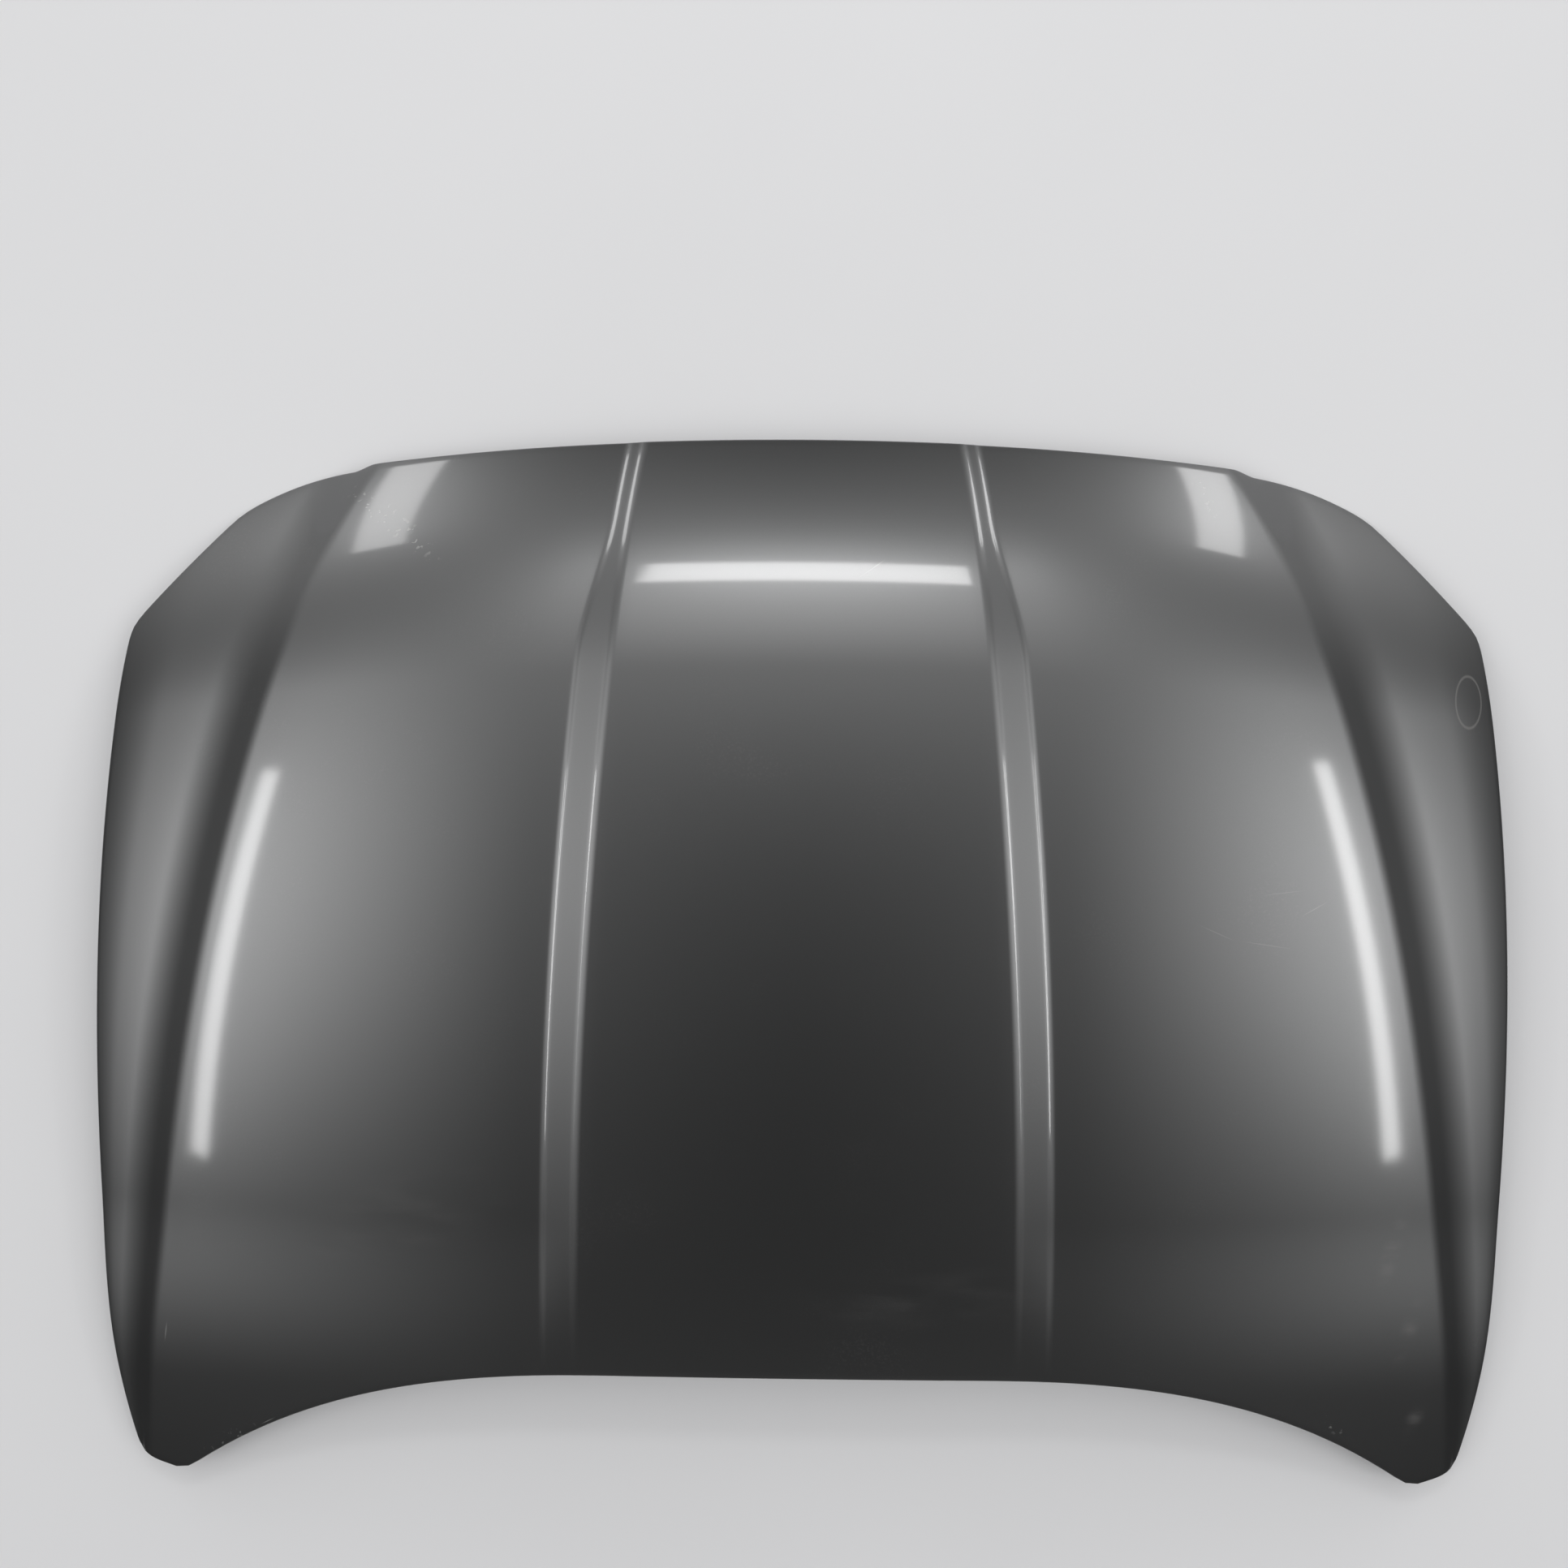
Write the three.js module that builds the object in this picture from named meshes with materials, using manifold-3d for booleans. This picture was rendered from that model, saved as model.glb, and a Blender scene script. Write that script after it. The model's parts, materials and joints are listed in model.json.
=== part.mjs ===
// A car bonnet: a pressed steel outer skin, hemmed round its edge over a pressed inner frame,
// with the hinge and striker reinforcements, the striker, rubbers and seals that it carries.
// It lies on its rim with the painted face up: X across, Y from the windscreen edge to the nose.
// Lengths are in millimetres. The left and right halves mirror each other about X = 0.
import * as THREE from "three";
import { mergeVertices } from "three/addons/utils/BufferGeometryUtils.js";
import Module from "manifold-3d";

const wasm = await Module();
wasm.setup();

// Plan outline. Y runs from the rear tips, which lie beside the windscreen, to the nose.
const LENGTH = 1150;
const HALF_WIDTH = 769;
const WIDEST_Y = 296;
const NOSE_BOW = 29;
const NOSE_BOW_HALF_WIDTH = 510;
const FENDER_CORNER_NARROWING = 38;
const FENDER_CORNER_SETBACK = 201;
const SIDE_FRONT_POWER = 2.5;
const LAMP_EDGE_WIDTH = 116;
const LAMP_CORNER_SETBACK = 78;
const STEP_TO_LAMP_CORNER = 139;
const STEP_HALF_RUN = 13;
const STEP_DEPTH = 6;
const HIP_NARROWING = 31;
const HIP_Y = 16;
const SIDE_REAR_POWER = 2.55;
const TIP_TO_HIP = 50;
const REAR_HOLLOW = 150;
const REAR_FLAT_HALF_WIDTH = 180;
const REAR_POWER = 2.7;

// Pressed lines of the skin
const RIDGE_FRONT_X = 170;
const RIDGE_REAR_X = 238;
const RIDGE_POWER = 1.9;
const RIDGE_RUN_FRONT = 15;
const RIDGE_RUN = 33;
const RIDGE_TAPER_SETBACK = 84;
const RIDGE_TAPER_LENGTH = 150;
const RIDGE_FADE_Y = 126;
const RIDGE_FADE_LENGTH = 200;
const RIDGE_HALF_FILLET = 4;
const RIDGE_FOOT_LEAD = 8;
const RIDGE_FOOT_FILLET = 22;
const SHOULDER_FRONT_INSET = 306;
const SHOULDER_FRONT_SETBACK = 26;
const SHOULDER_SPREAD = 156;
const SHOULDER_BOW = 116;
const SHOULDER_POWER = 3.2;
const SHOULDER_OVERRUN = 0.05;
const SHOULDER_LEAD = 8;
const SHOULDER_FILLET = 4;
const SHOULDER_BAND = 45;
const SHOULDER_BAND_TAPER = 60;
const BAND_BLEND = 0.5;
const LEAST_FENDER = 5;

// Heights and cross slopes of the skin
const CROWN_RISE = 66;
const CROWN_Y = 516;
const CROWN_HALF_LENGTH = 640;
const LIFT_TO_NOSE = 0.05;
const NOSE_ROLL_DROP = 62;
const NOSE_ROLL_LENGTH = 240;
const NOSE_ROLL_POWER = 2.2;
const CENTRE_SLOPE = 0.02;
const RIDGE_SLOPE = 0.24;
const RIDGE_FOOT_SLOPE = 0.03;
const SHOULDER_TOP_SLOPE = 0.21;
const SHOULDER_SLOPE = 0.45;
const VALLEY_SLOPE = 0.22;
const FENDER_CROWN_SLOPE = 0.27;
const FENDER_CROWN_SHARE = 0.5;
const EDGE_SLOPE = 0.45;

// Sheets, hem and clearances
const SKIN_SHEET = 0.8;
const FRAME_SHEET = 0.8;
const CLEARANCE = 0.3;
const HEM_RETURN = 11;
const FRAME_EDGE_INSET = 2.6;
const HEM_FLAT = 13;
const RIM_WALL = 12;

// Inner frame pressing
const FLOOR_DEPTH = 22;
const LEAST_FLOOR_DEPTH = 13;
const LAND_DEPTH = 5;
const CROSS_CROWN = 76;
const RIB_INNER_HALF = 22;
const RIB_WALL = 13;
const SIDE_CHANNEL_REAR = 72;
const SIDE_CHANNEL_FRONT = 18;
const SIDE_CHANNEL_TAPER_Y = 146;
const SIDE_CHANNEL_TAPER_LENGTH = 350;
const HOLE_CORNER = 22;
const HOLE_SIDE_MARGIN = 13;
const HOLE_END_MARGIN = 23;
const HOLE_LIMIT = 142;

// Fittings
const PLATE = 2.5;
const PLATE_CORNER = 6;
const HINGE_PAD_SINK = 8;
const HINGE_PLATE_LENGTH = 72;
const HINGE_PLATE_WIDTH = 38;
const HINGE_BOLT_SPACING = 44;
const M8 = 8;
const M8_HOLE = 9;
const M8_NUT_ACROSS_FLATS = 13;
const M8_NUT_HEIGHT = 6.5;
const STRIKER_PAD_SINK = 3;
const STRIKER_PLATE_LENGTH = 96;
const STRIKER_PLATE_WIDTH = 34;
const STRIKER_BASE_LENGTH = 84;
const STRIKER_BASE_WIDTH = 30;
const STRIKER_BASE_SHEET = 3;
const STRIKER_SCREW_SPACING = 64;
const STRIKER_WIRE = 8.5;
const STRIKER_LEG_SPACING = 30;
const STRIKER_BEND = 9;
const STRIKER_DROP = 38;
const SCREW_HEAD_HEIGHT = 5.3;
const SCREW_END = 2;
const SCREW_FLANGE_DIAMETER = 17;
const SCREW_FLANGE_HEIGHT = 1.5;
const BUFFER_DIAMETER = 28;
const BUFFER_HOLE = 10;
const BUFFER_BARB = 13;
const BUFFER_BARB_HEIGHT = 5;
const BUFFER_EDGE = 1;
const BUFFER_CHAMFER = 2;
const SEAL_HEIGHT = 11;
const SEAL_SIDE_HEIGHT = 6.6;
const SEAL_CLEARANCE = 0.5;
const REAR_SEAL_SHARES = [0.35, 0.6];
const NOSE_SEAL_SHARES = [0.1, 0.5];
const BEAD_LENGTH = 40;
const BEAD_WIDTH = 12;
const BEAD_TOP_DEPTH = 2.4;

// How far a cutter reaches past what it cuts
const CUT_PAST = 1;
const CUT_THROUGH = 200;

const smooth = (start, length, value) => {
  const t = Math.min(Math.max((value - start) / length, 0), 1);
  return t * t * (3 - 2 * t);
};
const mix = (a, b, t) => a + (b - a) * t;

// The corners of the right half
const fenderCornerX = HALF_WIDTH - FENDER_CORNER_NARROWING;
const fenderCornerY = LENGTH - FENDER_CORNER_SETBACK;
const lampCornerX = fenderCornerX - LAMP_EDGE_WIDTH;
const lampCornerY = LENGTH - LAMP_CORNER_SETBACK;
const stepX = lampCornerX - STEP_TO_LAMP_CORNER;
const hipX = HALF_WIDTH - HIP_NARROWING;
const tipX = hipX - TIP_TO_HIP;
const shoulderFrontX = HALF_WIDTH - SHOULDER_FRONT_INSET;
const shoulderFrontY = LENGTH - SHOULDER_FRONT_SETBACK;

// The plan curves of the right half

function noseY(x) {
  return LENGTH - NOSE_BOW * (x / NOSE_BOW_HALF_WIDTH) ** 2;
}

function frontY(x) {
  const stepEnd = stepX + STEP_HALF_RUN;
  if (x < stepEnd) {
    return noseY(x) - STEP_DEPTH * smooth(stepX - STEP_HALF_RUN, 2 * STEP_HALF_RUN, x);
  }
  if (x < lampCornerX) {
    // A parabola that leaves the step along the nose's own slope and ends at the lamp corner.
    const run = lampCornerX - stepEnd;
    const startY = noseY(stepEnd) - STEP_DEPTH;
    const straight = (-2 * NOSE_BOW * stepEnd * run) / NOSE_BOW_HALF_WIDTH ** 2;
    const t = (x - stepEnd) / run;
    return startY + straight * t + (lampCornerY - startY - straight) * t * t;
  }
  return mix(lampCornerY, fenderCornerY, (x - lampCornerX) / LAMP_EDGE_WIDTH);
}

function rearY(x) {
  if (x < tipX) {
    const reach = Math.max(x - REAR_FLAT_HALF_WIDTH, 0) / (tipX - REAR_FLAT_HALF_WIDTH);
    return REAR_HOLLOW * (1 - reach ** REAR_POWER);
  }
  return (HIP_Y * (x - tipX)) / TIP_TO_HIP;
}

function sideX(y) {
  const forward = Math.max(y - WIDEST_Y, 0) / (fenderCornerY - WIDEST_Y);
  const back = Math.max(WIDEST_Y - y, 0) / (WIDEST_Y - HIP_Y);
  const front = FENDER_CORNER_NARROWING * forward ** SIDE_FRONT_POWER;
  const rear = HIP_NARROWING * back ** SIDE_REAR_POWER;
  return HALF_WIDTH - front - rear;
}

function ridgeX(y) {
  const back = Math.min(Math.max((LENGTH - y) / (LENGTH - REAR_HOLLOW), 0), 1);
  return mix(RIDGE_FRONT_X, RIDGE_REAR_X, 1 - (1 - back) ** RIDGE_POWER);
}

function ridgeFootX(y) {
  const taper = smooth(RIDGE_TAPER_SETBACK, RIDGE_TAPER_LENGTH, LENGTH - y);
  return ridgeX(y) + mix(RIDGE_RUN_FRONT, RIDGE_RUN, taper);
}

function shoulderX(y) {
  const back = Math.min(Math.max((shoulderFrontY - y) / shoulderFrontY, -SHOULDER_OVERRUN), 1);
  return shoulderFrontX + SHOULDER_SPREAD * back + SHOULDER_BOW * (1 - (1 - back) ** SHOULDER_POWER);
}

function shoulderBand(y) {
  const fender = Math.max(sideX(y) - shoulderX(y), LEAST_FENDER);
  return SHOULDER_BAND * (1 - Math.exp(-fender / SHOULDER_BAND_TAPER));
}

// The height of the painted face: a crowned centre line less a drop that grows outwards.
// The drop is the sum of straight changes of slope between the pressed lines.

function centreLineZ(x, y) {
  const arch = CROWN_RISE * (1 - ((y - CROWN_Y) / CROWN_HALF_LENGTH) ** 2);
  const near = Math.min(Math.max(1 - (noseY(x) - y) / NOSE_ROLL_LENGTH, 0), 2);
  return arch + LIFT_TO_NOSE * y - NOSE_ROLL_DROP * near ** NOSE_ROLL_POWER;
}

function slopeKnots(y) {
  const ridge = ridgeX(y);
  const foot = ridgeFootX(y);
  const shoulder = shoulderX(y);
  const band = shoulderBand(y);
  const edge = Math.max(sideX(y), shoulder + LEAST_FENDER);
  const valley = shoulder + band * (1 + BAND_BLEND);
  const ridgeSlope = mix(CENTRE_SLOPE, RIDGE_SLOPE, smooth(RIDGE_FADE_Y, RIDGE_FADE_LENGTH, y));
  return [
    [0, 0],
    [ridge - RIDGE_HALF_FILLET, CENTRE_SLOPE],
    [ridge + RIDGE_HALF_FILLET, ridgeSlope],
    [foot - RIDGE_FOOT_LEAD, ridgeSlope],
    [foot + RIDGE_FOOT_FILLET, RIDGE_FOOT_SLOPE],
    [shoulder - SHOULDER_LEAD, SHOULDER_TOP_SLOPE],
    [shoulder + SHOULDER_FILLET, SHOULDER_SLOPE],
    [shoulder + band * (1 - BAND_BLEND), SHOULDER_SLOPE],
    [valley, VALLEY_SLOPE],
    [mix(valley, edge, FENDER_CROWN_SHARE), FENDER_CROWN_SLOPE],
    [edge + LEAST_FENDER, EDGE_SLOPE],
  ];
}

const LEAST_RUN = 1e-6;

function skinZ(x, y) {
  const reach = Math.abs(x);
  const knots = slopeKnots(y);
  let drop = 0;
  for (let k = 1; k < knots.length; k += 1) {
    const [startX, startSlope] = knots[k - 1];
    const [endX, endSlope] = knots[k];
    const run = Math.max(endX - startX, LEAST_RUN);
    const inside = Math.min(Math.max(reach - startX, 0), run);
    drop += startSlope * inside + ((endSlope - startSlope) * inside * inside) / (2 * run);
  }
  return centreLineZ(x, y) - drop;
}

// The floor of the frame's channels follows the same crown without the pressed lines,
// and stays clear of the skin where the skin falls away faster.
function floorZ(x, y) {
  const crowned = centreLineZ(x, y) - CROSS_CROWN * (x / HALF_WIDTH) ** 2 - FLOOR_DEPTH;
  return Math.min(crowned, skinZ(x, y) - LEAST_FLOOR_DEPTH);
}

// The grid that both sheets are pressed on: columns run from the windscreen edge to the nose
// and rows run across. An inset draws the whole grid in from the outline by that distance.

const FRAME_INSET = HEM_FLAT + RIM_WALL;
const BAND_END_SHARE = 1.1;
const BAND_END_LIMIT = 0.4;

const insetSideX = (y, inset) => sideX(y) - inset;
const insetShoulderX = (y, inset) => Math.min(shoulderX(y), insetSideX(y, inset) - LEAST_FENDER);
const panelX = (t) => (y, inset) => mix(ridgeFootX(y) + RIDGE_FOOT_FILLET, insetShoulderX(y, inset), t);
const channelX = (y, inset) => {
  const taper = smooth(SIDE_CHANNEL_TAPER_Y, SIDE_CHANNEL_TAPER_LENGTH, y);
  return insetShoulderX(y, inset) - mix(SIDE_CHANNEL_REAR, SIDE_CHANNEL_FRONT, taper);
};
const bandEndX = (y, inset) => {
  const shoulder = insetShoulderX(y, inset);
  const bandEnd = shoulder + shoulderBand(y) * BAND_END_SHARE;
  return Math.min(bandEnd, mix(shoulder, insetSideX(y, inset), BAND_END_LIMIT));
};
const fenderX = (t) => (y, inset) => mix(bandEndX(y, inset), insetSideX(y, inset), t);

// The shares that take one column through the rear tip and one through the lamp corner.
const tipShare = (tipX - channelX(0, 0)) / (insetShoulderX(0, 0) - channelX(0, 0));
const lampBandEnd = bandEndX(lampCornerY, 0);
const lampShare = (lampCornerX - lampBandEnd) / (sideX(lampCornerY) - lampBandEnd);

const COLUMNS = {
  centre: () => 0,
  strikerPad: (y) => ridgeX(y) * 0.34,
  ribWallInner: (y) => ridgeX(y) - RIB_INNER_HALF - RIB_WALL,
  ribFloorInner: (y) => ridgeX(y) - RIB_INNER_HALF,
  ridge: (y) => ridgeX(y),
  ribFloorOuter: (y) => ridgeFootX(y),
  ribWallOuter: (y) => ridgeFootX(y) + RIDGE_FOOT_FILLET,
  panelInner: panelX(0.25),
  panelOuter: panelX(0.55),
  channelWall: (y, inset) => channelX(y, inset) - RIB_WALL,
  channelFloor: channelX,
  tip: (y, inset) => mix(channelX(y, inset), insetShoulderX(y, inset), tipShare),
  shoulder: insetShoulderX,
  bandFoot: (y, inset) => mix(insetShoulderX(y, inset), bandEndX(y, inset), 0.5),
  valley: bandEndX,
  lamp: fenderX(lampShare),
  crown: fenderX(mix(lampShare, 1, 0.5)),
  side: insetSideX,
};

const COLUMN_NAMES = Object.keys(COLUMNS);
const HALF_COLUMNS = COLUMN_NAMES.length - 1;
const COLUMN_COUNT = 2 * HALF_COLUMNS + 1;
const columnIndex = (name) => COLUMN_NAMES.indexOf(name);

// Rows, as shares of the way from the windscreen edge to the nose
const ROWS = {
  rear: 0,
  rearFloor: 0.045,
  rearWall: 0.061,
  hingeEnd: 0.16,
  firstLand: 0.25,
  ribAWall: 0.345,
  ribAFloor: 0.36,
  ribAFloorEnd: 0.405,
  ribAWallEnd: 0.42,
  secondLand: 0.49,
  middleLand: 0.56,
  ribBWall: 0.625,
  ribBFloor: 0.64,
  ribBFloorEnd: 0.685,
  ribBWallEnd: 0.7,
  thirdLand: 0.785,
  noseWall: 0.865,
  noseFloor: 0.88,
  padStart: 0.91,
  padEnd: 0.956,
  sealStart: 0.97,
  nose: 1,
};
const ROW_NAMES = Object.keys(ROWS);
const ROW_COUNT = ROW_NAMES.length;
const rowIndex = (name) => ROW_NAMES.indexOf(name);

// How much longer a step along Y is than the same step square to a sloping edge.
const SLOPE_REACH = 5;

function stretch(curve, x) {
  const start = Math.max(x - SLOPE_REACH, 0);
  const end = x + SLOPE_REACH;
  return Math.hypot(1, (curve(end) - curve(start)) / (end - start));
}

// A point of the grid in plan: the place where its column meets its row, found by repeated steps.
const PLAN_STEPS = 60;
const PLAN_EASE = 0.7;

function planPoint(i, j, inset) {
  const side = Math.sign(i - HALF_COLUMNS);
  const column = COLUMNS[COLUMN_NAMES[Math.abs(i - HALF_COLUMNS)]];
  const share = ROWS[ROW_NAMES[j]];
  let y = mix(REAR_HOLLOW, fenderCornerY, share);
  let x = 0;
  for (let step = 0; step < PLAN_STEPS; step += 1) {
    x = column(y, inset);
    const start = rearY(x) + inset * stretch(rearY, x);
    const end = frontY(x) - inset * stretch(frontY, x);
    y = mix(y, mix(start, end, share), PLAN_EASE);
  }
  return [side * x, y];
}

const framePoint = (column, row) => (
  planPoint(HALF_COLUMNS + columnIndex(column), rowIndex(row), FRAME_INSET)
);

const perimeter = [];
for (let i = 0; i < COLUMN_COUNT - 1; i += 1) {
  perimeter.push([i, 0]);
}
for (let j = 0; j < ROW_COUNT - 1; j += 1) {
  perimeter.push([COLUMN_COUNT - 1, j]);
}
for (let i = COLUMN_COUNT - 1; i > 0; i -= 1) {
  perimeter.push([i, ROW_COUNT - 1]);
}
for (let j = ROW_COUNT - 1; j > 0; j -= 1) {
  perimeter.push([0, j]);
}

// Between the outline and the inner edge of the hem the sheets are ruled straight across,
// so that the skin, the frame's flange and the hem return lie parallel.
function hemPoint(i, j, inset, depth) {
  const [outX, outY] = planPoint(i, j, 0);
  const [inX, inY] = planPoint(i, j, HEM_FLAT);
  const t = inset / HEM_FLAT;
  const z = mix(skinZ(outX, outY), skinZ(inX, inY), t) - depth;
  return [mix(outX, inX, t), mix(outY, inY, t), z];
}

// A closed sheet: a top grid, loops that lead round its edge, and a bottom grid.
function sheetGeometry(inset, topZ, loops, bottomZ) {
  const positions = [];
  const faces = [];
  const place = (point) => positions.push(...point) / 3 - 1;
  const grid = (height) => {
    const rows = [];
    for (let j = 0; j < ROW_COUNT; j += 1) {
      const row = [];
      for (let i = 0; i < COLUMN_COUNT; i += 1) {
        const [x, y] = planPoint(i, j, inset);
        row.push(place([x, y, height(i, j, x, y)]));
      }
      rows.push(row);
    }
    return rows;
  };
  const top = grid(topZ);
  const rings = [{ inset, corners: perimeter.map(([i, j]) => top[j][i]) }];
  for (const [loopInset, loopDepth] of loops) {
    const corners = perimeter.map(([i, j]) => place(hemPoint(i, j, loopInset, loopDepth)));
    rings.push({ inset: loopInset, corners });
  }
  const bottom = grid(bottomZ);
  rings.push({ inset, corners: perimeter.map(([i, j]) => bottom[j][i]) });
  for (let j = 1; j < ROW_COUNT; j += 1) {
    for (let i = 1; i < COLUMN_COUNT; i += 1) {
      const right = i > HALF_COLUMNS;
      for (const [sheet, flip] of [[top, false], [bottom, true]]) {
        const quad = [sheet[j - 1][i - 1], sheet[j - 1][i], sheet[j][i], sheet[j][i - 1]];
        const order = right ? [0, 1, 2, 0, 2, 3] : [1, 2, 3, 1, 3, 0];
        const corners = order.map((corner) => quad[corner]);
        faces.push(...(flip ? corners.reverse() : corners));
      }
    }
  }
  for (let k = 1; k < rings.length; k += 1) {
    // Every strip is split the same way seen from above, so that parallel strips stay parallel.
    const outward = rings[k - 1].inset > rings[k].inset;
    for (let n = 0; n < perimeter.length; n += 1) {
      const next = (n + 1) % perimeter.length;
      const left = Math.max(perimeter[n][0], perimeter[next][0]) <= HALF_COLUMNS;
      const [a, b] = [rings[k - 1].corners[n], rings[k - 1].corners[next]];
      const [c, d] = [rings[k].corners[n], rings[k].corners[next]];
      faces.push(...(outward !== left ? [a, c, d, a, d, b] : [a, c, b, b, c, d]));
    }
  }
  const geometry = new THREE.BufferGeometry();
  geometry.setAttribute("position", new THREE.Float32BufferAttribute(positions, 3));
  geometry.setIndex(faces);
  return geometry;
}

// Joins and cuts

function solid(geometry) {
  const bare = geometry.clone();
  bare.deleteAttribute("normal");
  bare.deleteAttribute("uv");
  const merged = mergeVertices(bare, 1e-4);
  return new wasm.Manifold(new wasm.Mesh({
    numProp: 3,
    vertProperties: new Float32Array(merged.attributes.position.array),
    triVerts: new Uint32Array(merged.index.array),
  }));
}

function geometryOf(body) {
  const mesh = body.getMesh();
  const geometry = new THREE.BufferGeometry();
  geometry.setAttribute("position", new THREE.BufferAttribute(mesh.vertProperties, 3));
  geometry.setIndex(new THREE.BufferAttribute(mesh.triVerts, 1));
  return geometry;
}

function rod(diameter, lowZ, highZ, [x, y], sides = 12) {
  const geometry = new THREE.CylinderGeometry(diameter / 2, diameter / 2, highZ - lowZ, sides);
  geometry.rotateX(Math.PI / 2);
  geometry.translate(x, y, (lowZ + highZ) / 2);
  return geometry;
}

function roundedPlate(length, width, corner, lowZ, highZ, [x, y], turn = 0) {
  const shape = new THREE.Shape();
  const [right, top] = [length / 2 - corner, width / 2 - corner];
  shape.absarc(right, top, corner, 0, Math.PI / 2);
  shape.absarc(-right, top, corner, Math.PI / 2, Math.PI);
  shape.absarc(-right, -top, corner, Math.PI, 1.5 * Math.PI);
  shape.absarc(right, -top, corner, 1.5 * Math.PI, 2 * Math.PI);
  const geometry = new THREE.ExtrudeGeometry(shape, {
    depth: highZ - lowZ,
    bevelEnabled: false,
    curveSegments: 2,
  });
  geometry.rotateZ(turn);
  geometry.translate(x, y, lowZ);
  return geometry;
}

function cut(geometry, cutters) {
  let body = solid(geometry);
  for (const cutter of cutters) {
    body = body.subtract(solid(cutter));
  }
  return geometryOf(body);
}

// Where the frame's grid points lie

const floorRows = [
  ["rear", "rearFloor"],
  ["ribAFloor", "ribAFloorEnd"],
  ["ribBFloor", "ribBFloorEnd"],
  ["noseFloor", "nose"],
];
const floorColumns = [["ribFloorInner", "ribFloorOuter"], ["channelFloor", "side"]];
const within = (value, [start, end], index) => value >= index(start) && value <= index(end);

const pads = {
  hinge: { columns: ["channelFloor", "shoulder"], rows: ["rearFloor", "hingeEnd"], sink: HINGE_PAD_SINK },
  striker: { columns: ["centre", "strikerPad"], rows: ["padStart", "padEnd"], sink: STRIKER_PAD_SINK },
  buffer: { columns: ["valley", "lamp"], rows: ["padStart", "padEnd"], sink: 0 },
};

// Each pad is a flat facet of the channel floor, sunk below the lowest of its corners.
for (const pad of Object.values(pads)) {
  const corners = pad.columns.flatMap((column) => pad.rows.map((row) => framePoint(column, row)));
  pad.z = Math.min(...corners.map(([x, y]) => floorZ(x, y))) - pad.sink;
  pad.x = corners.reduce((sum, corner) => sum + corner[0], 0) / corners.length;
  pad.y = corners.reduce((sum, corner) => sum + corner[1], 0) / corners.length;
  pad.bottom = pad.z - FRAME_SHEET;
}
pads.striker.x = 0;

function frameTopZ(i, j, x, y) {
  const column = Math.abs(i - HALF_COLUMNS);
  for (const pad of Object.values(pads)) {
    if (within(column, pad.columns, columnIndex) && within(j, pad.rows, rowIndex)) {
      return pad.z;
    }
  }
  const onFloor = floorRows.some((range) => within(j, range, rowIndex))
    || floorColumns.some((range) => within(column, range, columnIndex));
  return onFloor ? floorZ(x, y) : skinZ(x, y) - LAND_DEPTH;
}

// The two sheets

const frameTopDepth = SKIN_SHEET + CLEARANCE;
const frameBottomDepth = frameTopDepth + FRAME_SHEET;
const returnTopDepth = frameBottomDepth + CLEARANCE;
const hemDepth = returnTopDepth + SKIN_SHEET;

// The hem's fold is a half round of five flats, in the same sheet as the skin.
function outerSkinGeometry() {
  const fold = hemDepth / 2;
  const loops = [
    [fold, 0],
    [0, fold],
    [fold, hemDepth],
    [HEM_RETURN, hemDepth],
    [HEM_RETURN, returnTopDepth],
    [fold, returnTopDepth],
    [SKIN_SHEET, fold],
    [fold, SKIN_SHEET],
  ];
  return sheetGeometry(
    HEM_FLAT,
    (i, j, x, y) => skinZ(x, y),
    loops,
    (i, j, x, y) => skinZ(x, y) - SKIN_SHEET,
  );
}

// Lightening holes lie between the ribs, in three bays along the panel.
const bays = [["rearWall", "ribAWall"], ["ribAWallEnd", "ribBWall"], ["ribBWallEnd", "noseWall"]];

const holeSpans = [
  { columns: ["centre", "ribWallInner"], count: 1 },
  { columns: ["ribWallOuter", "channelWall"], count: 2 },
];

// A point on a row of the frame, a share of the way between two columns.
function between([start, end], row, share) {
  const [startX, startY] = framePoint(start, row);
  const [endX, endY] = framePoint(end, row);
  return [mix(startX, endX, share), mix(startY, endY, share)];
}

const midway = ([ax, ay], [bx, by]) => [mix(ax, bx, 0.5), mix(ay, by, 0.5)];

function frameHoles() {
  const holes = [];
  for (const { columns, count } of holeSpans) {
    for (const [lowRow, highRow] of bays) {
      const [inner, outer] = [0, 1].map((share) => (
        midway(between(columns, lowRow, share), between(columns, highRow, share))
      ));
      const field = (outer[0] - inner[0]) / count;
      for (let n = 0; n < count; n += 1) {
        const low = between(columns, lowRow, (n + 0.5) / count);
        const high = between(columns, highRow, (n + 0.5) / count);
        const [runX, runY] = [high[0] - low[0], high[1] - low[1]];
        const [x, y] = midway(low, high);
        const width = Math.min(field - 2 * HOLE_SIDE_MARGIN, HOLE_LIMIT);
        const length = Math.min(Math.hypot(runX, runY) - 2 * HOLE_END_MARGIN, HOLE_LIMIT);
        const turn = Math.atan2(-runX, runY);
        holes.push({ centre: [x, y], width, length, turn });
        holes.push({ centre: [-x, y], width, length, turn: -turn });
      }
    }
  }
  return holes;
}

const hingeBolts = [];
for (const side of [-1, 1]) {
  for (const [end, offset] of [["rear", -0.5], ["front", 0.5]]) {
    hingeBolts.push({
      name: `${side < 0 ? "left" : "right"}_${end}`,
      at: [side * pads.hinge.x, pads.hinge.y + offset * HINGE_BOLT_SPACING],
    });
  }
}
const strikerScrews = [-1, 1].map((side) => ({
  name: side < 0 ? "left" : "right",
  at: [(side * STRIKER_SCREW_SPACING) / 2, pads.striker.y],
}));
const buffers = [-1, 1].map((side) => ({
  name: side < 0 ? "left" : "right",
  at: [side * pads.buffer.x, pads.buffer.y],
}));

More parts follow.
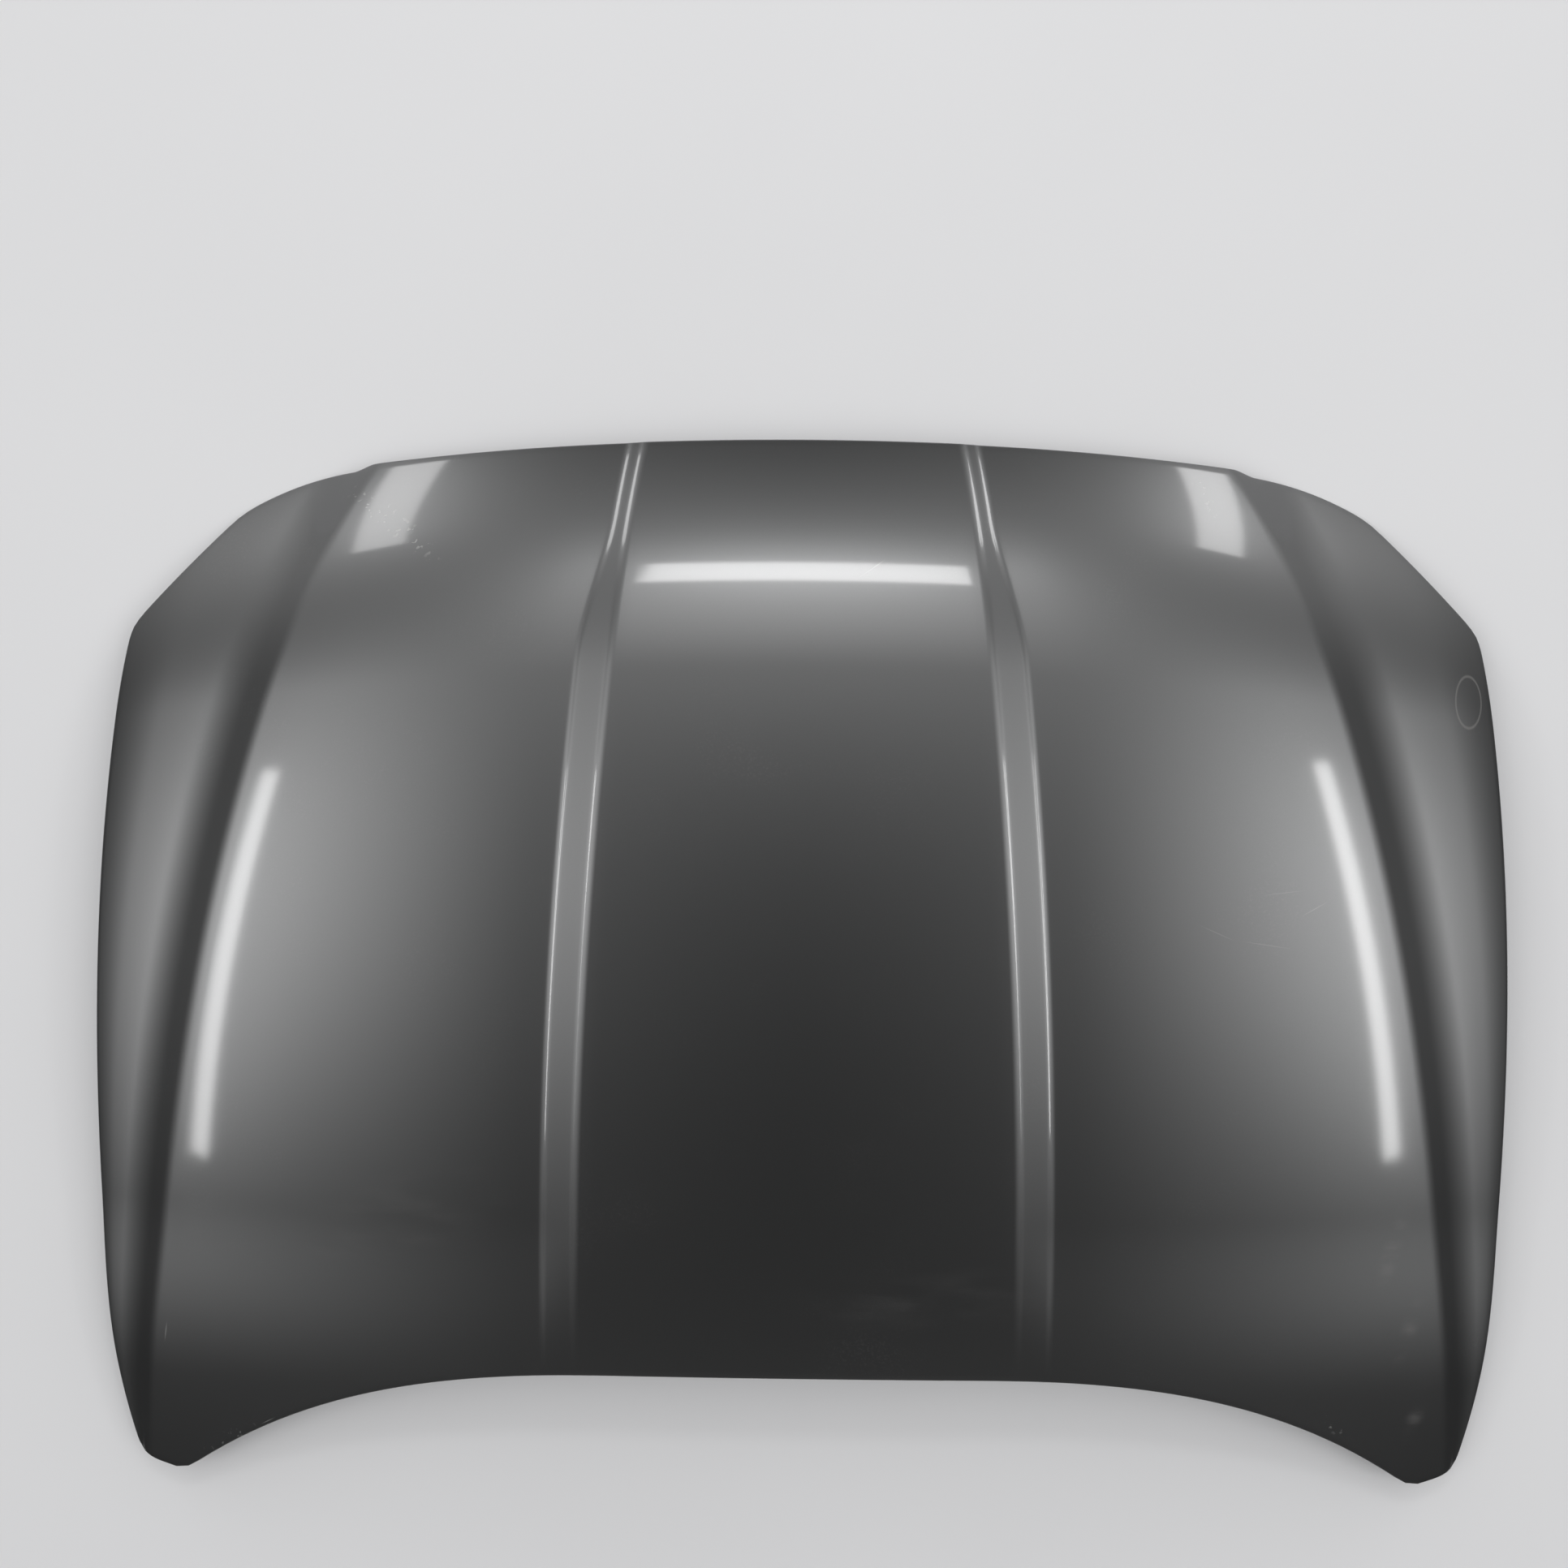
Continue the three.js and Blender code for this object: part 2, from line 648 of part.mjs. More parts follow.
function innerFrameGeometry() {
  const geometry = sheetGeometry(
    FRAME_INSET,
    frameTopZ,
    [
      [HEM_FLAT, frameTopDepth],
      [FRAME_EDGE_INSET, frameTopDepth],
      [FRAME_EDGE_INSET, frameBottomDepth],
      [HEM_FLAT, frameBottomDepth],
    ],
    (i, j, x, y) => frameTopZ(i, j, x, y) - FRAME_SHEET,
  );
  const [low, high] = [-CUT_THROUGH, CUT_THROUGH];
  const cutters = [];
  for (const { centre, width, length, turn } of frameHoles()) {
    cutters.push(roundedPlate(width, length, HOLE_CORNER, low, high, centre, turn));
  }
  for (const { at } of [...hingeBolts, ...strikerScrews]) {
    cutters.push(rod(M8_HOLE, low, high, at));
  }
  for (const { at } of buffers) {
    cutters.push(rod(BUFFER_HOLE, low, high, at));
  }
  return cut(geometry, cutters);
}

// Fittings

function hexagon(acrossFlats, lowZ, highZ, at) {
  return rod(acrossFlats / Math.cos(Math.PI / 6), lowZ, highZ, at, 6);
}

function join(geometries) {
  return geometryOf(geometries.map(solid).reduce((body, next) => body.add(next)));
}

function turned(profile, [x, y]) {
  const points = profile.map(([radius, z]) => new THREE.Vector2(radius, z));
  const geometry = new THREE.LatheGeometry(points, 16);
  geometry.rotateX(Math.PI / 2);
  geometry.translate(x, y, 0);
  return geometryOf(solid(geometry));
}

function plateGeometry(length, width, pad, x, holes) {
  const low = pad.z + CLEARANCE;
  const plate = roundedPlate(length, width, PLATE_CORNER, low, low + PLATE, [x, pad.y]);
  return cut(plate, holes.map((at) => rod(M8_HOLE, low - CUT_PAST, low + PLATE + CUT_PAST, at)));
}

function nutGeometry(pad, at) {
  const low = pad.z + PLATE + 2 * CLEARANCE;
  const high = low + M8_NUT_HEIGHT;
  const thread = rod(M8 + 2 * CLEARANCE, low - CUT_PAST, high + CUT_PAST, at);
  return cut(hexagon(M8_NUT_ACROSS_FLATS, low, high, at), [thread]);
}

const strikerBaseTop = pads.striker.bottom - CLEARANCE;
const strikerBaseBottom = strikerBaseTop - STRIKER_BASE_SHEET;
const strikerLegs = [-1, 1].map((side) => [(side * STRIKER_LEG_SPACING) / 2, pads.striker.y]);

function strikerBaseGeometry() {
  const base = roundedPlate(
    STRIKER_BASE_LENGTH,
    STRIKER_BASE_WIDTH,
    PLATE_CORNER,
    strikerBaseBottom,
    strikerBaseTop,
    [0, pads.striker.y],
  );
  const [low, high] = [strikerBaseBottom - CUT_PAST, strikerBaseTop + CUT_PAST];
  const screwHoles = strikerScrews.map(({ at }) => rod(M8_HOLE, low, high, at));
  const legHoles = strikerLegs.map((at) => rod(STRIKER_WIRE + 2 * CLEARANCE, low, high, at));
  return cut(base, [...screwHoles, ...legHoles]);
}

// The loop is one wire: down a leg, round two bends and up the other leg.
function strikerLoopGeometry() {
  const half = STRIKER_LEG_SPACING / 2;
  const low = strikerBaseBottom - STRIKER_DROP + STRIKER_WIRE / 2;
  const point = (x, z) => new THREE.Vector3(x, pads.striker.y, z);
  const straight = (start, end) => new THREE.LineCurve3(start, end);
  const bend = (start, corner, end) => new THREE.QuadraticBezierCurve3(start, corner, end);
  const path = new THREE.CurvePath();
  const [leftKnee, rightKnee] = [point(-half, low + STRIKER_BEND), point(half, low + STRIKER_BEND)];
  const [leftToe, rightToe] = [point(STRIKER_BEND - half, low), point(half - STRIKER_BEND, low)];
  path.add(straight(point(-half, strikerBaseTop), leftKnee));
  path.add(bend(leftKnee, point(-half, low), leftToe));
  path.add(straight(leftToe, rightToe));
  path.add(bend(rightToe, point(half, low), rightKnee));
  path.add(straight(rightKnee, point(half, strikerBaseTop)));
  const section = new THREE.Shape();
  section.absarc(0, 0, STRIKER_WIRE / 2, 0, 2 * Math.PI);
  return new THREE.ExtrudeGeometry(section, { steps: 22, curveSegments: 8, extrudePath: path });
}

function screwGeometry(at) {
  const seat = strikerBaseBottom - CLEARANCE;
  const nutTop = pads.striker.z + PLATE + 2 * CLEARANCE + M8_NUT_HEIGHT;
  return join([
    rod(M8, seat - CUT_PAST, nutTop + SCREW_END, at),
    rod(SCREW_FLANGE_DIAMETER, seat - SCREW_FLANGE_HEIGHT, seat, at),
    hexagon(M8_NUT_ACROSS_FLATS, seat - SCREW_FLANGE_HEIGHT - SCREW_HEAD_HEIGHT, seat - CUT_PAST, at),
  ]);
}

function bufferGeometry(at) {
  const pad = pads.buffer;
  const radius = BUFFER_DIAMETER / 2;
  const seat = pad.bottom - CLEARANCE;
  const foot = pads.hinge.bottom;
  const stem = BUFFER_HOLE / 2 - CLEARANCE;
  const barb = pad.z + CLEARANCE;
  return turned([
    [0, foot],
    [radius - BUFFER_EDGE - BUFFER_CHAMFER, foot],
    [radius - BUFFER_EDGE, foot + BUFFER_CHAMFER],
    [radius, seat - BUFFER_CHAMFER],
    [radius - BUFFER_EDGE, seat],
    [stem, seat],
    [stem, barb],
    [BUFFER_BARB / 2, barb],
    [stem - BUFFER_EDGE, barb + BUFFER_BARB_HEIGHT],
    [0, barb + BUFFER_BARB_HEIGHT],
  ], at);
}

// A bulb strip under a channel floor: five corners at each column, closed by its two ends.
const SEAL_CORNERS = 5;

function sealGeometry(lastColumn, rows, shares) {
  const positions = [];
  const faces = [];
  const last = columnIndex(lastColumn);
  const floorPoint = (i, share) => {
    const ends = rows.map((row) => {
      const j = rowIndex(row);
      const [x, y] = planPoint(i, j, FRAME_INSET);
      return [x, y, frameTopZ(i, j, x, y) - FRAME_SHEET - SEAL_CLEARANCE];
    });
    return ends[0].map((value, axis) => mix(value, ends[1][axis], share));
  };
  const lower = ([x, y, z], drop) => [x, y, z - drop];
  for (let i = HALF_COLUMNS - last; i <= HALF_COLUMNS + last; i += 1) {
    const near = floorPoint(i, shares[0]);
    const far = floorPoint(i, shares[1]);
    const middle = near.map((value, axis) => (value + far[axis]) / 2);
    positions.push(...near, ...far, ...lower(far, SEAL_SIDE_HEIGHT));
    positions.push(...lower(middle, SEAL_HEIGHT), ...lower(near, SEAL_SIDE_HEIGHT));
  }
  const stations = 2 * last + 1;
  for (let k = 1; k < stations; k += 1) {
    for (let n = 0; n < SEAL_CORNERS; n += 1) {
      const next = (n + 1) % SEAL_CORNERS;
      const [a, b] = [(k - 1) * SEAL_CORNERS + n, (k - 1) * SEAL_CORNERS + next];
      const [c, d] = [k * SEAL_CORNERS + n, k * SEAL_CORNERS + next];
      faces.push(a, c, b, b, c, d);
    }
  }
  const end = (stations - 1) * SEAL_CORNERS;
  for (let n = 1; n < SEAL_CORNERS - 1; n += 1) {
    faces.push(0, n, n + 1);
    faces.push(end, end + n + 1, end + n);
  }
  const geometry = new THREE.BufferGeometry();
  geometry.setAttribute("position", new THREE.Float32BufferAttribute(positions, 3));
  geometry.setIndex(faces);
  return geometry;
}

// A bead of anti-flutter mastic between a land and the skin, shaped to the skin above it.
function beadGeometry([x, y]) {
  const end = BEAD_WIDTH / 2 - CLEARANCE;
  const bead = roundedPlate(BEAD_LENGTH, BEAD_WIDTH, end, 0, 1, [x, y], Math.PI / 2);
  const points = bead.attributes.position;
  for (let n = 0; n < points.count; n += 1) {
    const depth = points.getZ(n) > 0 ? BEAD_TOP_DEPTH : LAND_DEPTH - CLEARANCE;
    points.setZ(n, skinZ(points.getX(n), points.getY(n)) - depth);
  }
  return bead;
}

// One bead on the centre land of each bay, and one on the land between each pair of side holes.
function beadPlaces() {
  const places = [];
  const sideLand = ["ribWallOuter", "channelWall"];
  bays.forEach(([lowRow, highRow], index) => {
    const number = index + 1;
    const centre = midway(framePoint("centre", lowRow), framePoint("centre", highRow));
    const [x, y] = midway(between(sideLand, lowRow, 0.5), between(sideLand, highRow, 0.5));
    places.push({ name: `centre_${number}`, at: centre });
    places.push({ name: `left_${number}`, at: [-x, y] });
    places.push({ name: `right_${number}`, at: [x, y] });
  });
  return places;
}

// The looks and the nodes

const paint = { color: 0x45474a, roughness: 0.32, metalness: 0.55 };
const framePaint = { color: 0x3a3c3f, roughness: 0.5, metalness: 0.35 };
const steel = { color: 0xa7a9a6, roughness: 0.42, metalness: 0.9 };
const rubber = { color: 0x161616, roughness: 0.85, metalness: 0 };
const mastic = { color: 0x8c8a80, roughness: 0.9, metalness: 0 };

const group = new THREE.Group();

function add(name, geometry, look) {
  const mesh = new THREE.Mesh(geometry, new THREE.MeshStandardMaterial(look));
  mesh.name = name;
  group.add(mesh);
}

add("outer_skin", outerSkinGeometry(), paint);
add("inner_frame", innerFrameGeometry(), framePaint);
for (const [side, hand] of [[-1, "left"], [1, "right"]]) {
  const bolts = hingeBolts.filter(({ name }) => name.startsWith(hand));
  const holes = bolts.map(({ at }) => at);
  const plate = plateGeometry(HINGE_PLATE_WIDTH, HINGE_PLATE_LENGTH, pads.hinge, side * pads.hinge.x, holes);
  add(`hinge_plate_${hand}`, plate, steel);
}
for (const { name, at } of hingeBolts) {
  add(`hinge_nut_${name}`, nutGeometry(pads.hinge, at), steel);
}
const strikerHoles = strikerScrews.map(({ at }) => at);
const strikerPlate = plateGeometry(
  STRIKER_PLATE_LENGTH,
  STRIKER_PLATE_WIDTH,
  pads.striker,
  0,
  strikerHoles,
);
add("striker_plate", strikerPlate, steel);
add("striker_base", strikerBaseGeometry(), steel);
add("striker_loop", strikerLoopGeometry(), steel);
for (const { name, at } of strikerScrews) {
  add(`striker_nut_${name}`, nutGeometry(pads.striker, at), steel);
  add(`striker_screw_${name}`, screwGeometry(at), steel);
}
for (const { name, at } of buffers) {
  add(`rubber_buffer_${name}`, bufferGeometry(at), rubber);
}
add("rear_seal", sealGeometry("panelOuter", ["rear", "rearFloor"], REAR_SEAL_SHARES), rubber);
add("nose_seal", sealGeometry("panelOuter", ["sealStart", "nose"], NOSE_SEAL_SHARES), rubber);
for (const { name, at } of beadPlaces()) {
  add(`mastic_bead_${name}`, beadGeometry(at), mastic);
}

// The hinge pads and the buffers stand on Z = 0, and Y = 0 is halfway along.
group.position.set(0, -LENGTH / 2, -pads.hinge.bottom);

export default group;
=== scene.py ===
"""A car bonnet lying painted face up on its hinge pads and rubber buffers.

The pressed skin and the inner frame are surfaces worked out with numpy from named sizes. The
fittings are the CAD pieces from model.glb. X runs across, Y from the windscreen edge to the nose
and Z up. Sizes are in metres.
"""

import json
import math
from typing import NamedTuple

import bpy
import numpy as np
from bpy.props import FloatProperty, FloatVectorProperty, IntProperty, PointerProperty
from bpy.types import Operator, Panel, PropertyGroup
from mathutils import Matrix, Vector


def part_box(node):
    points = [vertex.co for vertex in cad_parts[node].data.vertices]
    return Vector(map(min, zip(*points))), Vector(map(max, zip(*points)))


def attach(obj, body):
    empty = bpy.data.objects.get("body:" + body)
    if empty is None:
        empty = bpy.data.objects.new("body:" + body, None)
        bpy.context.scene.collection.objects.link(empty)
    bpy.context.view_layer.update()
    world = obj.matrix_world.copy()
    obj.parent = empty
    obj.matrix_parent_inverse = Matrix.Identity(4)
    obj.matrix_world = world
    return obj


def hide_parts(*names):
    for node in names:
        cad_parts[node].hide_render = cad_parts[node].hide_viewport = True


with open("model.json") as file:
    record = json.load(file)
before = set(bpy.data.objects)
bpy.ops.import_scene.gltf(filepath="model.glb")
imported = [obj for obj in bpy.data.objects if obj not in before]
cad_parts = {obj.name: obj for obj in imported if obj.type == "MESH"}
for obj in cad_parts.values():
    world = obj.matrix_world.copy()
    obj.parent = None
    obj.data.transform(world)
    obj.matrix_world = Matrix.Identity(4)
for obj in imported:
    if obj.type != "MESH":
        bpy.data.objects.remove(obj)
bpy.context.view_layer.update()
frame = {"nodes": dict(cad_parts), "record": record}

bl_info = {
    "name": "Car Bonnet",
    "version": (1, 0, 0),
    "blender": (4, 5, 0),
    "location": "View3D > Sidebar > Bonnet",
    "description": "Builds a pressed steel car bonnet with its inner frame, fittings and studio",
    "category": "Add Mesh",
}


def size(name, description, default):
    return FloatProperty(name=name, description=description, default=default, unit="LENGTH", precision=4)


def number(name, description, default):
    return FloatProperty(name=name, description=description, default=default, precision=3)


def count(name, description, default):
    return IntProperty(name=name, description=description, default=default, min=1)


def colour(name, description, default):
    return FloatVectorProperty(name=name, description=description, default=default, size=3,
                               subtype="COLOR", min=0.0, max=1.0)


class BonnetShape(PropertyGroup):
    """Sizes of the plan outline and of the lines pressed into the skin."""

    length: size("Length", "Rear tips to nose", 1.150)
    half_width: size("Half width", "Centre line to the widest point of the side", 0.769)
    widest_y: size("Widest at", "Distance of the widest point from the rear tips", 0.296)
    nose_bow: size("Nose bow", "How far the nose falls back at the bow's half width", 0.029)
    nose_bow_half_width: size("Nose bow half width", "Where the nose bow is measured", 0.510)
    fender_narrowing: size("Fender narrowing", "Widest point to the front corner of the side", 0.038)
    fender_setback: size("Fender setback", "Nose to the front corner of the side", 0.201)
    side_front_power: number("Side front power", "How late the side turns in towards the nose", 2.5)
    lamp_edge_width: size("Lamp edge width", "Width of the straight edge over the lamp", 0.116)
    lamp_setback: size("Lamp setback", "Nose to the inner end of the lamp edge", 0.078)
    step_to_lamp: size("Step to lamp", "Step in the nose to the inner end of the lamp edge", 0.139)
    step_half_run: size("Step half run", "Half the width over which the nose steps back", 0.013)
    step_depth: size("Step depth", "How far the nose steps back", 0.006)
    hip_narrowing: size("Hip narrowing", "Widest point to the rear end of the side", 0.031)
    hip_y: size("Hip", "Rear end of the side, ahead of the rear tip", 0.016)
    side_rear_power: number("Side rear power", "How late the side turns in towards the rear", 2.55)
    tip_to_hip: size("Tip to hip", "Rear tip to the rear end of the side", 0.050)
    rear_hollow: size("Rear hollow", "Depth of the concave rear edge", 0.150)
    rear_flat_half_width: size("Rear flat", "Half width of the straight part of the rear edge", 0.180)
    rear_power: number("Rear power", "How late the rear edge sweeps back", 2.7)
    ridge_front_x: size("Ridge front", "Centre line to the ridge at the nose", 0.170)
    ridge_rear_x: size("Ridge rear", "Centre line to the ridge at the rear", 0.238)
    ridge_power: number("Ridge power", "How soon the ridges spread", 1.9)
    ridge_run_front: size("Ridge run front", "Width of the slope beside the ridge at the nose", 0.015)
    ridge_run: size("Ridge run", "Width of the slope beside the ridge", 0.033)
    ridge_taper_setback: size("Ridge taper setback", "Nose to the start of the slope's widening", 0.084)
    ridge_taper_length: size("Ridge taper length", "Length of the slope's widening", 0.150)
    ridge_fade_y: size("Ridge fade", "Where the ridge dies out near the rear", 0.126)
    ridge_fade_length: size("Ridge fade length", "Length over which the ridge dies out", 0.200)
    ridge_fillet: size("Ridge fillet", "Rounding inside the ridge", 0.008)
    ridge_crest: size("Ridge crest", "Width of the crisp line outside the ridge", 0.004)
    foot_lead: size("Foot lead", "Start of the crisp line before the ridge's foot", 0.006)
    foot_crest: size("Foot crest", "Middle of that line before the foot", 0.002)
    foot_fillet: size("Foot fillet", "End of that line past the foot", 0.004)
    foot_run: size("Foot run", "Where the field's own slope starts past the foot", 0.030)
    shoulder_front_inset: size("Shoulder inset", "Widest point to the shoulder crease at the nose", 0.306)
    shoulder_front_setback: size("Shoulder setback", "Nose to the front end of the crease", 0.026)
    shoulder_spread: size("Shoulder spread", "Even part of the crease's spread to the rear", 0.156)
    shoulder_bow: size("Shoulder bow", "Bowed part of the crease's spread to the rear", 0.116)
    shoulder_power: number("Shoulder power", "How soon the bowed part is reached", 3.2)
    shoulder_overrun: number("Shoulder overrun", "How far the crease runs on past its front end", 0.05)
    shoulder_lead: size("Shoulder lead", "Start of the rounding at the crease", 0.008)
    shoulder_fillet: size("Shoulder fillet", "End of the rounding at the crease", 0.004)
    shoulder_band: size("Shoulder band", "Width of the steep band outside the crease", 0.045)
    shoulder_band_taper: size("Shoulder band taper", "Fender width at which the band narrows", 0.060)
    band_blend: number("Band blend", "Share of the band that is rounded at its foot", 0.5)
    least_fender: size("Least fender", "Least width left outside the crease", 0.005)
    crown_rise: size("Crown rise", "Height of the arch along the centre line", 0.066)
    crown_y: size("Crown", "Highest point of the arch, from the rear tips", 0.516)
    crown_half_length: size("Crown half length", "Half the length of the arch", 0.640)
    lift_to_nose: number("Lift to nose", "Rise per metre towards the nose", 0.05)
    nose_roll_drop: size("Nose roll drop", "How far the nose rolls down", 0.062)
    nose_roll_length: size("Nose roll length", "Length of the roll at the nose", 0.240)
    nose_roll_power: number("Nose roll power", "How late the nose rolls down", 2.2)
    centre_slope: number("Centre slope", "Cross slope at the ridge's inner side", 0.02)
    ridge_slope: number("Ridge slope", "Cross slope beside the ridge", 0.197)
    crest_slope: number("Crest slope", "Cross slope along the crisp lines", 0.38)
    ridge_foot_slope: number("Ridge foot slope", "Cross slope at the start of the field", 0.03)
    shoulder_top_slope: number("Shoulder top slope", "Cross slope at the crease's inner side", 0.21)
    shoulder_slope: number("Shoulder slope", "Cross slope of the steep band", 0.45)
    valley_slope: number("Valley slope", "Cross slope in the hollow outside the band", 0.22)
    fender_crown_slope: number("Fender crown slope", "Cross slope halfway to the side", 0.27)
    fender_crown_share: number("Fender crown share", "Where that slope lies, hollow to side", 0.5)
    edge_slope: number("Edge slope", "Cross slope at the side", 0.45)
    edge_trim: size("Edge trim", "How far the rounded edge lies inside the sharp outline", 0.0003)
    corner_round: size("Corner rounding", "Length of edge taken up by each rounded corner", 0.022)


class BonnetSheets(PropertyGroup):
    """Thicknesses, hem and fineness of the two pressed sheets."""

    skin_sheet: size("Skin sheet", "Thickness of the skin", 0.0008)
    hem_depth: size("Hem depth", "Height of the folded edge", 0.0030)
    hem_return: size("Hem return", "Width of the sheet folded back under the edge", 0.011)
    fold_steps: count("Fold steps", "Steps round the folded edge", 6)
    row_count: count("Rows", "Rows of the skin from the rear edge to the nose", 150)


class BonnetFrame(PropertyGroup):
    """Sizes of the inner frame's pressing."""

    frame_sheet: size("Frame sheet", "Thickness of the inner frame", 0.0008)
    clearance: size("Clearance", "Gap between the two sheets in the hem", 0.0003)
    hem_flat: size("Hem flat", "Outline to the foot of the frame's rim", 0.013)
    rim_wall: size("Rim wall", "Width of the sloping wall inside the hem", 0.012)
    edge_inset: size("Edge inset", "Outline to the frame's edge inside the fold", 0.0026)
    floor_depth: size("Floor depth", "Crown to the channels' floor", 0.022)
    least_floor_depth: size("Least floor depth", "Least depth of a channel under the skin", 0.013)
    land_depth: size("Land depth", "Skin to the frame between the channels", 0.005)
    cross_crown: size("Cross crown", "Fall of the channels' floor at the half width", 0.076)
    rib_inner_half: size("Rib half width", "Ridge to the inner edge of the channel under it", 0.022)
    rib_wall: size("Rib wall", "Width of a channel's sloping wall", 0.013)
    rib_foot: size("Rib foot", "Ridge foot to the outer edge of the channel's wall", 0.022)
    channel_rear: size("Channel rear", "Crease to the side channel at the rear", 0.072)
    channel_front: size("Channel front", "Crease to the side channel at the front", 0.018)
    channel_taper_y: size("Channel taper", "Where the side channel starts to narrow", 0.146)
    channel_taper: size("Channel taper length", "Length over which it narrows", 0.350)
    hinge_sink: size("Hinge pad sink", "Depth of the hinge pads below the floor", 0.008)
    striker_sink: size("Striker pad sink", "Depth of the striker pad below the floor", 0.003)
    hole_corner: size("Hole corner", "Corner radius of the lightening holes", 0.022)
    hole_side_margin: size("Hole side margin", "Hole to the channel walls beside it", 0.016)
    hole_end_margin: size("Hole end margin", "Hole to the channel walls at its ends", 0.031)
    hole_limit: size("Hole limit", "Longest side of a hole", 0.142)
    lip_height: size("Lip height", "Height of the turned edge round a hole", 0.0035)
    lip_width: size("Lip width", "Width of the turned edge", 0.0022)
    bolt_hole: size("Bolt hole", "Diameter of the bolt holes", 0.009)
    buffer_hole: size("Buffer hole", "Diameter of the buffers' holes", 0.010)
    bolt_spacing: size("Hinge bolts", "Distance between a hinge's bolts", 0.044)
    screw_spacing: size("Striker screws", "Distance between the striker's screws", 0.064)


def smooth(start, length, value):
    """A smooth step from 0 to 1 that starts at start and takes length."""
    t = np.clip((value - start) / length, 0, 1)
    return t * t * (3 - 2 * t)


def mix(a, b, t):
    return a + (b - a) * t


